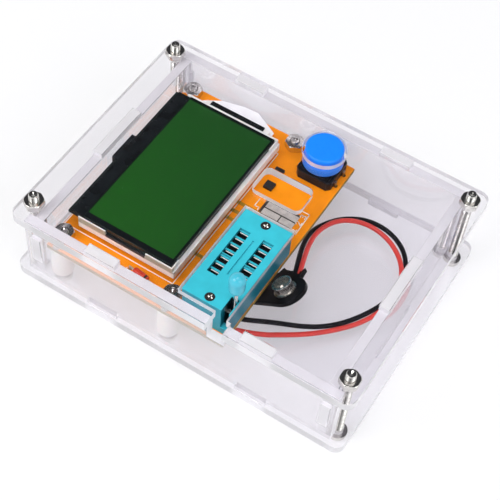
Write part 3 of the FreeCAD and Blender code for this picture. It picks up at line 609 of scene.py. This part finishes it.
# Tinned contacts with a painted highlight and painted shade.
CONTACT = Contact("contacts_highlight_and_shade")
NYLON = Plastic("white_nylon", rgb(0.92, 0.88, 0.84), roughness=0.42, relief=0.02, drift=0.04,
                scatter=0.3)
ORANGE = BoardCoat("orange_board")
FOAM = Plastic("grey_foam", rgb(0.05, 0.05, 0.05), roughness=0.9, grain=0.3, relief=0.1, drift=0.3)
FILM_WHITE = Plastic("white_film", rgb(0.86, 0.86, 0.86), roughness=0.35, drift=0.03)
FRAME_PALE = FramePlastic("pale_light_frame", rgb(0.82, 0.80, 0.75), roughness=0.3, drift=0.06,
                          scatter=0.2)
GLASS_DARK = Plastic("dark_glass", rgb(0.012, 0.018, 0.016), roughness=0.08, relief=0.001,
                     drift=0.2, gloss=0.2)
FILM = DisplayFilm("display_film")
BLACK_COAT = Plastic("black_coating", rgb(0.006, 0.008, 0.009), roughness=0.2, grain=0.5,
                     relief=0.02, drift=0.3, gloss=0.2)
TURQUOISE = SocketPlastic("turquoise_plastic", rgb(0.036, 0.49, 0.60), roughness=0.36, drift=0.05,
                          gloss=0.3)
KNOB_BLUE = Plastic("pale_blue_knob", rgb(0.07, 0.56, 0.72), roughness=0.22, drift=0.04, clear=0.18)
SWITCH_BLACK = Plastic("black_switch", rgb(0.010, 0.010, 0.012), roughness=0.34, drift=0.3,
                       gloss=0.2)
CAP_BLUE = Plastic("blue_cap", rgb(0.006, 0.225, 0.90), roughness=0.3, drift=0.03, gloss=0.3)
CHIP_BLACK = Plastic("black_chip", rgb(0.014, 0.014, 0.015), roughness=0.45, grain=0.1,
                     relief=0.015, drift=0.3)
CHIP_TAN = Plastic("tan_ceramic", rgb(0.20, 0.12, 0.06), roughness=0.4, drift=0.2)
DIODE = DiodeGlass("red_glass")
VINYL = Plastic("black_vinyl", rgb(0.003, 0.003, 0.004), roughness=0.36, grain=0.35, relief=0.03,
                drift=0.3, gloss=0.12)
RED_SKIN = Plastic("red_insulation", rgb(0.66, 0.045, 0.035), roughness=0.34, drift=0.08)
BLACK_SKIN = Plastic("black_insulation", rgb(0.004, 0.004, 0.006), roughness=0.34, drift=0.3,
                     gloss=0.2)
SILK = Plastic("white_marking", rgb(0.95, 0.91, 0.83), roughness=0.5, drift=0.04)
BARE = Plastic("bare_laminate", rgb(0.035, 0.028, 0.022), roughness=0.5, grain=0.3, drift=0.3)
TRACK = Plastic("masked_copper", rgb(0.36, 0.20, 0.004), roughness=0.32, drift=0.12)


def placed(name: str, data: bpy.types.ID) -> Piece:
    """Add an object to the scene.

    Args:
        name: The object's name.
        data: Its mesh, curve, light or camera.

    Returns:
        The object.
    """
    made = bpy.data.objects.new(name, data)
    bpy.context.scene.collection.objects.link(made)
    return made


def show(name: str, shape: Shape, finish: Finish, slot: str, body: str = "case",
         stands_for: Sequence[str] = (), smooth: float = 32.0, flat: float = 5.0) -> Piece:
    """Turn a shape into a piece that rides on a body.

    Args:
        name: The piece's name.
        shape: Its faces in metres, freed here.
        finish: Its surface.
        slot: The record's material slot; not used.
        body: The body it rides on.
        stands_for: The CAD nodes that it replaces.
        smooth: The angle in degrees over which an edge stays sharp.
        flat: The area in square millimetres over which a face is shaded flat.

    Returns:
        The piece.
    """
    mesh = bpy.data.meshes.new(name)
    bmesh.ops.recalc_face_normals(shape, faces=shape.faces[:])
    shape.to_mesh(mesh)
    shape.free()
    mesh.materials.append(finish.material())
    mesh.shade_smooth()
    mesh.set_sharp_from_angle(angle=math.radians(smooth))
    mesh.polygons.foreach_set("use_smooth", [face.area < flat * MM * MM for face in mesh.polygons])
    made = placed(name, mesh)
    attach(made, body)
    if stands_for:
        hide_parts(*stands_for)
    LOG.info("%s: %d faces", name, len(mesh.polygons))
    return made


def dress(finish: Finish, *nodes: str) -> None:
    """Give CAD nodes that stay as they are their surface.

    Args:
        finish: The surface.
        nodes: The CAD nodes.
    """
    for node in nodes:
        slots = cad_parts[node].data.materials
        slots.clear()
        slots.append(finish.material())
        LOG.info("%s: %s", node, finish.name)


def copied(node: str, joined: bool = True) -> Shape:
    """Copy a CAD node's faces.

    Args:
        node: The CAD node.
        joined: Whether its flat triangles are joined.

    Returns:
        The copy.
    """
    shape = bmesh.new()
    shape.from_mesh(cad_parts[node].data)
    bmesh.ops.remove_doubles(shape, verts=shape.verts[:], dist=WELD_M)
    if joined:
        bmesh.ops.dissolve_limit(shape, angle_limit=FLAT_ANGLE, verts=shape.verts[:],
                                 edges=shape.edges[:])
    return shape


def rounded(shape: Shape, width: float, segments: int = 2, angle: float = 34.0) -> Shape:
    """Round the sharp edges of a shape.

    Args:
        shape: The faces to change.
        width: How far the rounding reaches.
        segments: The faces across the rounding.
        angle: The least angle of an edge that counts as sharp.

    Returns:
        The same shape.
    """
    sharp = [edge for edge in shape.edges
             if len(edge.link_faces) == 2 and edge.calc_face_angle(0.0) > math.radians(angle)]
    bmesh.ops.bevel(shape, geom=sharp, offset=width * MM, offset_type="OFFSET", segments=segments,
                    profile=0.5, affect="EDGES", clamp_overlap=True)
    return shape


def recast(node: str, name: str, width: float, finish: Finish, slot: str, segments: int = 2,
           **choices: Any) -> Piece:
    """Show a copy with edges rounded to a width in a CAD node's place."""
    shape = rounded(copied(node), width, segments)
    return show(name, shape, finish, slot, stands_for=[node], **choices)


def islands(node: str) -> list[list[Vector]]:
    """Find the separate solids of a CAD node.

    Args:
        node: The CAD node.

    Returns:
        The corners of each solid.
    """
    shape = copied(node, joined=False)
    left = dict.fromkeys(shape.verts)
    found = []
    while left:
        ahead, group = [left.popitem()[0]], []
        while ahead:
            corner = ahead.pop()
            group.append(corner.co.copy())
            for edge in corner.link_edges:
                other = edge.other_vert(corner)
                if other in left:
                    del left[other]
                    ahead.append(other)
        found.append(group)
    shape.free()
    return found


def middles(node: str) -> list[Spot]:
    """Return the plan centre of each separate solid of a CAD node, in metres."""
    return [((min(c.x for c in group) + max(c.x for c in group)) / 2,
             (min(c.y for c in group) + max(c.y for c in group)) / 2) for group in islands(node)]


def skin(shape: Shape, rings: list[list[bmesh.types.BMVert]]) -> None:
    """Join rings of corners into a closed tube.

    Args:
        shape: The faces to add to.
        rings: The corners of each ring.
    """
    for low, high in zip(rings, rings[1:]):
        for k, corner in enumerate(low):
            after = (k + 1) % len(low)
            shape.faces.new((corner, low[after], high[after], high[k]))
    shape.faces.new(rings[0][::-1])
    shape.faces.new(rings[-1])


def turned(shape: Shape, centre: Spot, profile: Iterable[Spot], sides: int = 28) -> None:
    """Add a profile turned about an upright axis, with closed ends.

    Args:
        shape: The faces to add to.
        centre: The axis in plan, in metres.
        profile: Radius and height of each ring, in metres.
        sides: The faces round the axis.
    """
    turns = [2 * math.pi * k / sides for k in range(sides)]
    skin(shape, [[shape.verts.new((centre[0] + radius * math.cos(turn),
                                   centre[1] + radius * math.sin(turn), height)) for turn in turns]
                 for radius, height in profile])


def plate(shape: Shape, plan: Iterable[Spot], low: float, high: float) -> None:
    """Add a flat plate from its plan and the heights of its two faces."""
    skin(shape, [[shape.verts.new((x * MM, y * MM, z * MM)) for x, y in plan]
                 for z in (low, high)])


def ribbon(shape: Shape, points: Sequence[Spot], width: float, low: float, high: float) -> None:
    """Add a thin raised line along points.

    Args:
        shape: The faces to add to.
        points: The plan points of the line.
        width: The line's width.
        low: The height of its underside.
        high: The height of its top.
    """
    for start, end in zip(points, points[1:]):
        run = Vector((end[0] - start[0], end[1] - start[1]))
        ahead = run.normalized() * width / 2
        side = Vector((-ahead.y, ahead.x))
        a, b = Vector(start) - ahead, Vector(end) + ahead
        plate(shape, (a + side, a - side, b - side, b + side), low, high)


@dataclass(frozen=True)
class Lamp:
    """One square soft lamp, placed in metres."""

    name: str
    place: Point
    size: float
    watts: float
    colour: Point = (1.0, 1.0, 1.0)

    def hang(self) -> None:
        """Add the lamp, turned to the middle of the part."""
        light = bpy.data.lights.new(self.name, "AREA")
        light.size = self.size
        light.energy = self.watts
        light.color = self.colour
        made = placed(self.name, light)
        made.location = self.place
        made.rotation_euler = (-Vector(self.place)).to_track_quat("-Z", "Y").to_euler()


@dataclass
class Studio:
    """The camera, the pale floor, the lamps and the air around them."""

    eye: Point = (99.663, -195.100, 314.621)
    turn: Point = (35.3030, -3.5019, 31.9808)
    lens: float = 90.5018
    sensor: float = 36.0
    clip_m: Spot = (0.01, 20.0)
    floor_half_m: float = 3.0
    floor_drop: float = 0.05
    air: Colour = rgb(0.48, 0.48, 0.495)
    air_rise: Spot = (0.05, 0.7)
    ceiling: Colour = rgb(0.04, 0.04, 0.045)
    ceiling_rise: Spot = (0.15, 0.6)
    lamps: tuple[Lamp, ...] = (
        Lamp("key_lamp", (-0.55, -0.75, 0.85), 0.7, 6.5),
        Lamp("side_lamp", (0.9, -0.25, 0.7), 0.8, 4.0, (0.97, 0.98, 1.0)),
        Lamp("top_lamp", (0.0, -0.12, 1.2), 0.5, 3.8))

    def build(self) -> None:
        """Set up the whole studio."""
        self.camera()
        self.floor()
        self.surroundings()
        for lamp in self.lamps:
            lamp.hang()

    def camera(self) -> None:
        """Place the camera at the photograph's view."""
        lens = bpy.data.cameras.new("photo_camera")
        lens.lens = self.lens
        lens.sensor_width = self.sensor
        lens.clip_start, lens.clip_end = self.clip_m
        made = placed("photo_camera", lens)
        made.location = Vector(self.eye) * MM
        made.rotation_euler = [math.radians(part) for part in self.turn]
        bpy.context.scene.camera = made
        bpy.context.scene.view_settings.view_transform = "Standard"

    def floor(self) -> None:
        """Lay the floor just under the screw heads."""
        half, low = self.floor_half_m, -self.floor_drop * MM
        mesh = bpy.data.meshes.new("pale_floor")
        mesh.from_pydata([(-half, -half, low), (half, -half, low), (half, half, low),
                          (-half, half, low)], [], [(0, 1, 2, 3)])
        mesh.materials.append(FloorPaint("pale_floor").material())
        placed("pale_floor", mesh)

    def surroundings(self) -> None:
        """Light the air evenly, white at the horizon and dark overhead for reflections."""
        world = bpy.data.worlds.new("studio_air")
        world.use_nodes = True
        bpy.context.scene.world = world
        graph = Graph(world.node_tree)
        height = graph.part(graph.out("ShaderNodeTexCoord", output="Generated"), Axis.Z)
        seen, glossy, through, softened = graph.rays("Is Camera Ray", "Is Glossy Ray",
                                                     "Is Transmission Ray", "Diffuse Depth")
        mirror = glossy.most(through) * (softened < 0.5)
        mirrored = graph.mix(height.ease(*self.ceiling_rise), WHITE, self.ceiling)
        soft = graph.mix(height.ease(*self.air_rise), WHITE, self.air)
        colour = graph.mix(seen, graph.mix(mirror, soft, mirrored), WHITE)
        graph.finish(graph.out("ShaderNodeBackground", None, {"Color": colour, "Strength": 1.0}),
                     "ShaderNodeOutputWorld")


@dataclass
class Lead:
    """One free insulated lead, from its joint on the board to the snap."""

    node: str
    name: str
    finish: Finish
    slot: str
    length: float
    route: tuple[Point, ...]
    diameter: float = 1.5
    steps: int = 12
    sides: int = 6
    order: int = 3

    def build(self, with_pieces: Sequence[Piece]) -> None:
        """Lay the lead along its route.

        Args:
            with_pieces: The pieces on its far end; not used.
        """
        curve = bpy.data.curves.new(self.name, "CURVE")
        curve.dimensions = "3D"
        curve.resolution_u = self.steps
        curve.bevel_depth = self.diameter / 2 * MM
        curve.bevel_resolution = self.sides
        curve.use_fill_caps = True
        curve.materials.append(self.finish.material())
        line = curve.splines.new("NURBS")
        line.points.add(len(self.route) - 1)
        for point, place in zip(line.points, self.route):
            point.co = (place[0] * MM, place[1] * MM, place[2] * MM, 1.0)
        line.order_u = self.order
        line.use_endpoint_u = True
        made = placed(self.name, curve)
        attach(made, "case")
        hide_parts(self.node)
        tuple(part * MM for part in self.route[0])
        self.diameter * MM
        LOG.info("%s: %d route points", self.name, len(self.route))


BLACK_LEAD = Lead("black_lead", "black_lead_skin", BLACK_SKIN, "lead_black", 131.4, (
    (8.0, -29.4, 15.1), (13.15, -27.15, 14.2), (18.5, -22.15, 11.2), (21.93, -19.32, 9.6),
    (26.69, -15.8, 7.6), (31.38, -12.19, 6.6), (35.6, -7.75, 6.2), (39.26, -2.31, 6.1),
    (42.38, 4.19, 6.1), (44.5, 13.0, 6.1), (41.45, 23.64, 6.1), (33.87, 29.47, 6.1),
    (24.7, 30.2, 6.2), (17.52, 25.01, 7.5), (13.93, 17.3, 9.5), (13.23, 11.53, 11.4),
    (14.65, 4.61, 13.6), (16.97, -1.97, 15.6), (18.65, -6.7, 15.94)))
RED_LEAD = Lead("red_lead", "red_lead_skin", RED_SKIN, "lead_red", 127.5, (
    (9.2, -32.4, 15.1), (13.85, -31.2, 14.4), (20.15, -26.2, 11.0), (23.77, -22.27, 9.0),
    (28.14, -18.2, 7.6), (32.36, -13.84, 6.6), (36.45, -9.23, 6.2), (40.29, -4.17, 6.1),
    (43.08, 1.66, 6.2), (44.6, 6.5, 7.4), (44.2, 13.0, 7.9), (41.0, 20.3, 7.5),
    (34.74, 25.44, 7.5), (27.75, 27.45, 7.5), (21.5, 25.9, 8.4), (16.9, 21.3, 9.7),
    (15.0, 13.85, 11.7), (15.8, 6.75, 13.6), (18.1, -0.83, 16.2), (19.99, -6.6, 16.89)))


@dataclass
class BatterySnap:
    """The vinyl snap with its stud and clasp, and the two leads."""

    shell_rounding: float = 0.3
    metal_rounding: float = 0.1
    solder_base: float = 1.1
    solder_drop: float = 1.7
    dome_angles: tuple[float, ...] = (0.0, 0.25, 0.5, 0.8, 1.1, 1.35, 1.5)
    dome_fullness: float = 0.6

    def build(self) -> None:
        """Make the snap, then lay the leads to it."""
        shell = recast("snap_shell", "snap_cover", self.shell_rounding, VINYL, "snap_vinyl", 3)
        stud = recast("snap_stud", "snap_button", self.metal_rounding, SNAP_METAL, "screw_steel")
        clasp = recast("snap_socket", "snap_clasp", self.metal_rounding, SNAP_METAL, "screw_steel")
        for lead in (BLACK_LEAD, RED_LEAD):
            lead.build([shell, stud, clasp])
        self.joints()

    def joints(self) -> None:
        """Add the domed solder joints of the leads."""
        shape = bmesh.new()
        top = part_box("lead_solder")[1].z
        base, drop = self.solder_base * MM, self.solder_drop * MM
        dome = [(base * math.cos(angle) ** self.dome_fullness, top - drop * math.sin(angle))
                for angle in self.dome_angles]
        for centre in middles("lead_solder"):
            turned(shape, centre, dome)
        show("lead_joints", shape, SOLDER, "contact_tin", stands_for=["lead_solder"])


@dataclass
class Case:
    """The six acrylic panels, with the screws and nuts of the case and the board."""

    edge_rounding: float = 0.16
    edge_angle: float = 20.0
    face_gap: float = 0.02
    veil: float = 0.26
    nut_rounding: float = 0.1
    head_rounding: float = 0.12
    neck_sink: float = 0.1
    thread_angle: float = 40.0
    thread_radius: float = 1.5
    thread_pitch: float = 0.5
    thread_depth: float = 0.28
    tip_rings: tuple[Spot, ...] = ((0.55, 0.0), (0.12, 0.35))
    thread_sides: int = 24
    thread_steps: int = 6

    def build(self) -> None:
        """Make the panels, screws and nuts."""
        for axis, nodes in ((Axis.Z, ("bottom_panel", "top_panel")),
                            (Axis.Y, ("front_panel", "back_panel")),
                            (Axis.X, ("left_panel", "right_panel"))):
            for node in nodes:
                self.panel(node, axis)
        for node in ("case_screws", "board_screws"):
            self.screws(node)
        for node in ("case_nuts", "board_nuts"):
            recast(node, node + "_plated", self.nut_rounding, STEEL, "screw_steel")

    def panel(self, node: str, axis: Axis) -> None:
        """Make one panel a hair thinner than its sheet, so that touching faces stay apart.

        Args:
            node: The panel's CAD node.
            axis: The direction across the sheet.
        """
        shape = copied(node)
        low, high = (corner[axis.value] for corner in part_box(node))
        for corner in shape.verts:
            across = corner.co[axis.value]
            if abs(across - low) < TOUCH_M:
                corner.co[axis.value] += self.face_gap * MM
            elif abs(across - high) < TOUCH_M:
                corner.co[axis.value] -= self.face_gap * MM
        veil = self.veil if axis is Axis.Y else 0.0
        sheet = Acrylic("acrylic_" + axis.name.lower(), axis, veil=veil)
        show(node + "_clear", rounded(shape, self.edge_rounding), sheet, "clear_acrylic",
             stands_for=[node], smooth=self.edge_angle)

    def screws(self, node: str) -> None:
        """Keep the screws' cross-slotted heads and cut real threads on their shanks.

        Args:
            node: The screws' CAD node.
        """
        shape = copied(node)
        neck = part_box("bottom_panel")[0].z
        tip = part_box(node)[1].z
        shank = [face for face in shape.faces if face.calc_center_median().z > neck + TOUCH_M]
        bmesh.ops.delete(shape, geom=shank, context="FACES")
        rounded(shape, self.head_rounding)
        for centre in middles(node):
            self.thread(shape, centre, neck - self.neck_sink * MM, tip)
        show(node + "_threaded", shape, STEEL, "screw_steel", stands_for=[node],
             smooth=self.thread_angle)

    def thread(self, shape: Shape, centre: Spot, low: float, high: float) -> None:
        """Add one threaded shank.

        Args:
            shape: The faces to add to.
            centre: The screw's axis in plan, in metres.
            low: The height of its start in metres.
            high: The height of its tip in metres.
        """
        pitch, depth = self.thread_pitch * MM, self.thread_depth * MM
        radius = self.thread_radius * MM
        rings = []
        for row in range(math.ceil((high - low) / pitch * self.thread_steps) + 1):
            z = min(low + row * pitch / self.thread_steps, high)
            lead_in = max(0.0, 1.0 - (high - z) / pitch)
            ring = []
            for k in range(self.thread_sides):
                turn = 2 * math.pi * k / self.thread_sides
                valley = abs(2.0 * ((z / pitch - k / self.thread_sides) % 1.0) - 1.0)
                reach = radius - depth * max(valley, lead_in)
                ring.append(shape.verts.new((centre[0] + reach * math.cos(turn),
                                             centre[1] + reach * math.sin(turn), z)))
            rings.append(ring)
        end = rings[-1]
        for size, drop in self.tip_rings:
            rings.append([shape.verts.new((centre[0] + (c.co.x - centre[0]) * size,
                                           centre[1] + (c.co.y - centre[1]) * size,
                                           high - drop * MM)) for c in end])
        skin(shape, rings)


@dataclass
class CircuitBoard:
    """The orange board with its markings, tracks, spacers and small parts."""

    line: float = 0.28
    lift: float = 0.02
    sink: float = 0.01
    spacer_rounding: float = 0.2
    spacer_flat: float = 20.0
    bead_rounding: float = 0.5
    track: float = 1.2
    track_span: Spot = (-8.6, -1.5)
    track_places: tuple[float, ...] = (5.3, 1.9, -1.2, -17.4)
    fan_track: float = 0.3
    fan_count: int = 8
    fan_pitch: float = 0.8
    fan_start: float = -0.2
    fan_run: Spot = (1.0, 0.55)
    fan_slant: Spot = (1.32, 0.3)
    fan_end: float = 3.0
    digit_height: float = 1.75
    digit_width: float = 1.5
    digit_places: tuple[Spot, ...] = ((11.45, 5.15), (11.45, 8.1), (11.45, 10.9))
    underlay: Sides = (0.9, 0.05, 0.1, 0.9)
    joint_base: float = 0.95
    joint_drop: float = 1.0
    joint_sides: int = 20
    tail_least: float = 0.2

    LINES: ClassVar[list[list[Spot]]] = [
        [(-45.7, -29.8), (-8.05, -29.8), (-8.05, 27.9), (-45.7, 27.9), (-45.7, -29.8)],
        [(-3.55, 9.9), (-3.6, 6.9), (-2.2, 7.2), (-1.9, 5.4)],
        [(9.1, 13.2), (11.7, 13.25), (11.9, 4.7), (9.95, 5.4)],
        [(-22.6, -33.2), (-21.0, -33.2)],
        [(-21.8, -34.0), (-21.8, -32.4)],
    ]
    DIGITS: ClassVar[dict[str, list[list[Spot]]]] = {
        "1": [[(0.10, 0.74), (0.45, 1.00), (0.45, 0.00)], [(0.12, 0.00), (0.78, 0.00)]],
        "2": [[(0.06, 0.78), (0.20, 0.96), (0.48, 1.00), (0.72, 0.86), (0.70, 0.62),
               (0.06, 0.00), (0.80, 0.00)]],
        "3": [[(0.06, 0.92), (0.35, 1.00), (0.66, 0.92), (0.70, 0.70), (0.52, 0.55), (0.30, 0.53)],
              [(0.52, 0.55), (0.76, 0.36), (0.70, 0.10), (0.40, 0.00), (0.05, 0.08)]],
    }
    JOINT_PROFILE: ClassVar[Sequence[Spot]] = ((1.0, 0.0), (0.8, 0.25), (0.5, 0.6), (0.36, 1.0))

    @cached_property
    def top(self) -> float:
        """Return the height of the board's top."""
        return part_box("circuit_board")[1].z / MM

    @cached_property
    def bottom(self) -> float:
        """Return the height of the board's underside."""
        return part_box("circuit_board")[0].z / MM

    def build(self) -> None:
        """Dress the board and add what is printed and soldered on it."""
        dress(ORANGE, "circuit_board")
        recast("board_spacers", "board_spacers_nylon", self.spacer_rounding, NYLON, "nylon_white",
               flat=self.spacer_flat)
        dress(PAD, "test_pads")
        dress(TIN, "crystal", "diode_leads")
        dress(CHIP_BLACK, "reference_chip", "power_transistor", "microcontroller",
              "voltage_regulator", "chip_resistors")
        dress(CHIP_TAN, "chip_capacitors")
        recast("diode_body", "diode_bead", self.bead_rounding, DIODE, "diode_red", 4)
        self.pad_underlay()
        self.markings()
        self.tracks()
        self.pin_joints()

    def pad_underlay(self) -> None:
        """Leave the dark bare laminate round the test pads."""
        shape = bmesh.new()
        low, high = (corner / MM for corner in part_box("test_pads"))
        left, right = low.x - self.underlay[0], high.x + self.underlay[1]
        front, back = low.y - self.underlay[2], high.y + self.underlay[3]
        plate(shape, ((left, front), (right, front), (right, back), (left, back)),
              self.top - self.sink, self.top + self.lift / 2)
        show("pad_underlay", shape, BARE, "board_orange")

    def markings(self) -> None:
        """Print the display's outline, the pads' corners, the plus sign and the pad numbers."""
        shape = bmesh.new()
        strokes = list(self.LINES)
        for (x, y), digit in zip(self.digit_places, self.DIGITS.values()):
            strokes += [[(x - v * self.digit_height, y + u * self.digit_width) for u, v in stroke]
                        for stroke in digit]
        for stroke in strokes:
            ribbon(shape, stroke, self.line, self.top - self.sink, self.top + self.lift)
        show("board_markings", shape, SILK, "nylon_white")

    def tracks(self) -> None:
        """Lay the masked copper tracks on both faces."""
        shape = bmesh.new()
        left, right = self.track_span
        for y in self.track_places:
            ribbon(shape, [(left, y), (right, y)], self.track, self.top - self.sink,
                   self.top + self.lift)
        low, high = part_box("microcontroller")
        middle = ((low.x + high.x) / 2 / MM, (low.y + high.y) / 2 / MM)
        reach = (high.x - low.x) / 2 / MM
        for ux, uy in ((1, 0), (0, 1), (-1, 0), (0, -1)):
            for path in self.fan(reach):
                ribbon(shape, [(middle[0] + ux * a - uy * b, middle[1] + uy * a + ux * b)
                               for a, b in path],
                       self.fan_track, self.bottom - self.lift, self.bottom + self.sink)
        show("board_tracks", shape, TRACK, "board_orange")

    def fan(self, reach: float) -> list[list[Spot]]:
        """Plan the fine tracks that spread from one side of the microcontroller.

        Args:
            reach: Half the microcontroller's width.

        Returns:
            The points of each track, outward and along the side.
        """
        half = (self.fan_count - 1) / 2
        paths = []
        for k in range(self.fan_count):
            along = (k - half) * self.fan_pitch
            bend = reach + self.fan_run[0] + self.fan_run[1] * (half - abs(k - half))
            slant = self.fan_slant[0] + self.fan_slant[1] * abs(k - half)
            aside = along + math.copysign(slant, along)
            paths.append([(reach + self.fan_start, along), (bend, along), (bend + slant, aside),
                          (bend + slant + self.fan_end, aside)])
        return paths

    def pin_joints(self) -> None:
        """Add the solder cones round the pins under the board."""
        shape = bmesh.new()
        base, drop, top = self.joint_base * MM, self.joint_drop * MM, self.bottom * MM
        cone = [(base * wide, top - drop * deep) for wide, deep in self.JOINT_PROFILE]
        for node in ("socket_contacts", "diode_leads", "switch_terminals"):
            for group in islands(node):
                tail = [corner for corner in group if corner.z < top - self.tail_least * MM]
                if tail:
                    centre = tuple(sum(c[k] for c in tail) / len(tail) for k in range(2))
                    turned(shape, centre, cone, self.joint_sides)
        show("pin_joints", shape, SOLDER, "contact_tin")


@dataclass
class Display:
    """The liquid crystal display with its light frame."""

    frame_rounding: float = 0.18
    glass_rounding: float = 0.08
    black_rounding: float = 0.15

    def build(self) -> None:
        """Dress the display from its foam pads to its film."""
        dress(FOAM, "lcd_foam_pads")
        dress(FILM_WHITE, "lcd_reflector")
        recast("lcd_backlight", "light_frame_pale", self.frame_rounding, FRAME_PALE, "light_frame")
        for node in ("lcd_rear_glass", "lcd_front_glass"):
            recast(node, node + "_polished", self.glass_rounding, GLASS_DARK, "display_glass")
        dress(FILM, "lcd_polariser")
        for node in ("lcd_driver_coat", "lcd_flex", "backlight_led_board"):
            recast(node, node + "_black", self.black_rounding, BLACK_COAT, "display_black")


@dataclass
class TestSocket:
    """The turquoise socket with its lever, slider and contacts."""

    body_rounding: float = 0.2

    def build(self) -> None:
        """Dress the socket's pieces on their bodies."""
        for node in ("socket_base", "socket_cover"):
            recast(node, node + "_moulded", self.body_rounding, TURQUOISE, "socket_turquoise")
        # Black on the slider is painted shade deep in the socket's entries; the real slider is
        # turquoise.
        dress(SWITCH_BLACK, "socket_slider")
        dress(CONTACT, "socket_contacts")
        dress(STEEL, "socket_screws")
        dress(WIRE_STEEL, "socket_lever")
        dress(KNOB_BLUE, "lever_knob")


@dataclass
class PushButton:
    """The tactile switch with its round cap."""

    cap_rounding: float = 0.4
    base_rounding: float = 0.15

    def build(self) -> None:
        """Dress the switch and its cap."""
        recast("button_cap", "button_cap_blue", self.cap_rounding, CAP_BLUE, "cap_blue", 3,
               body="button")
        recast("switch_base", "switch_base_moulded", self.base_rounding, SWITCH_BLACK,
               "switch_black")
        dress(SWITCH_BLACK, "switch_plate", "switch_plunger")
        dress(TIN, "switch_dome", "switch_terminals")


def main() -> None:
    """Build the scene."""
    logging.basicConfig(level=logging.INFO, format="%(name)s: %(message)s")
    Studio().build()
    for part in (BatterySnap(), Case(), CircuitBoard(), Display(), TestSocket(), PushButton()):
        LOG.info("%s", type(part).__name__)
        part.build()


if __name__ == "__main__":
    main()
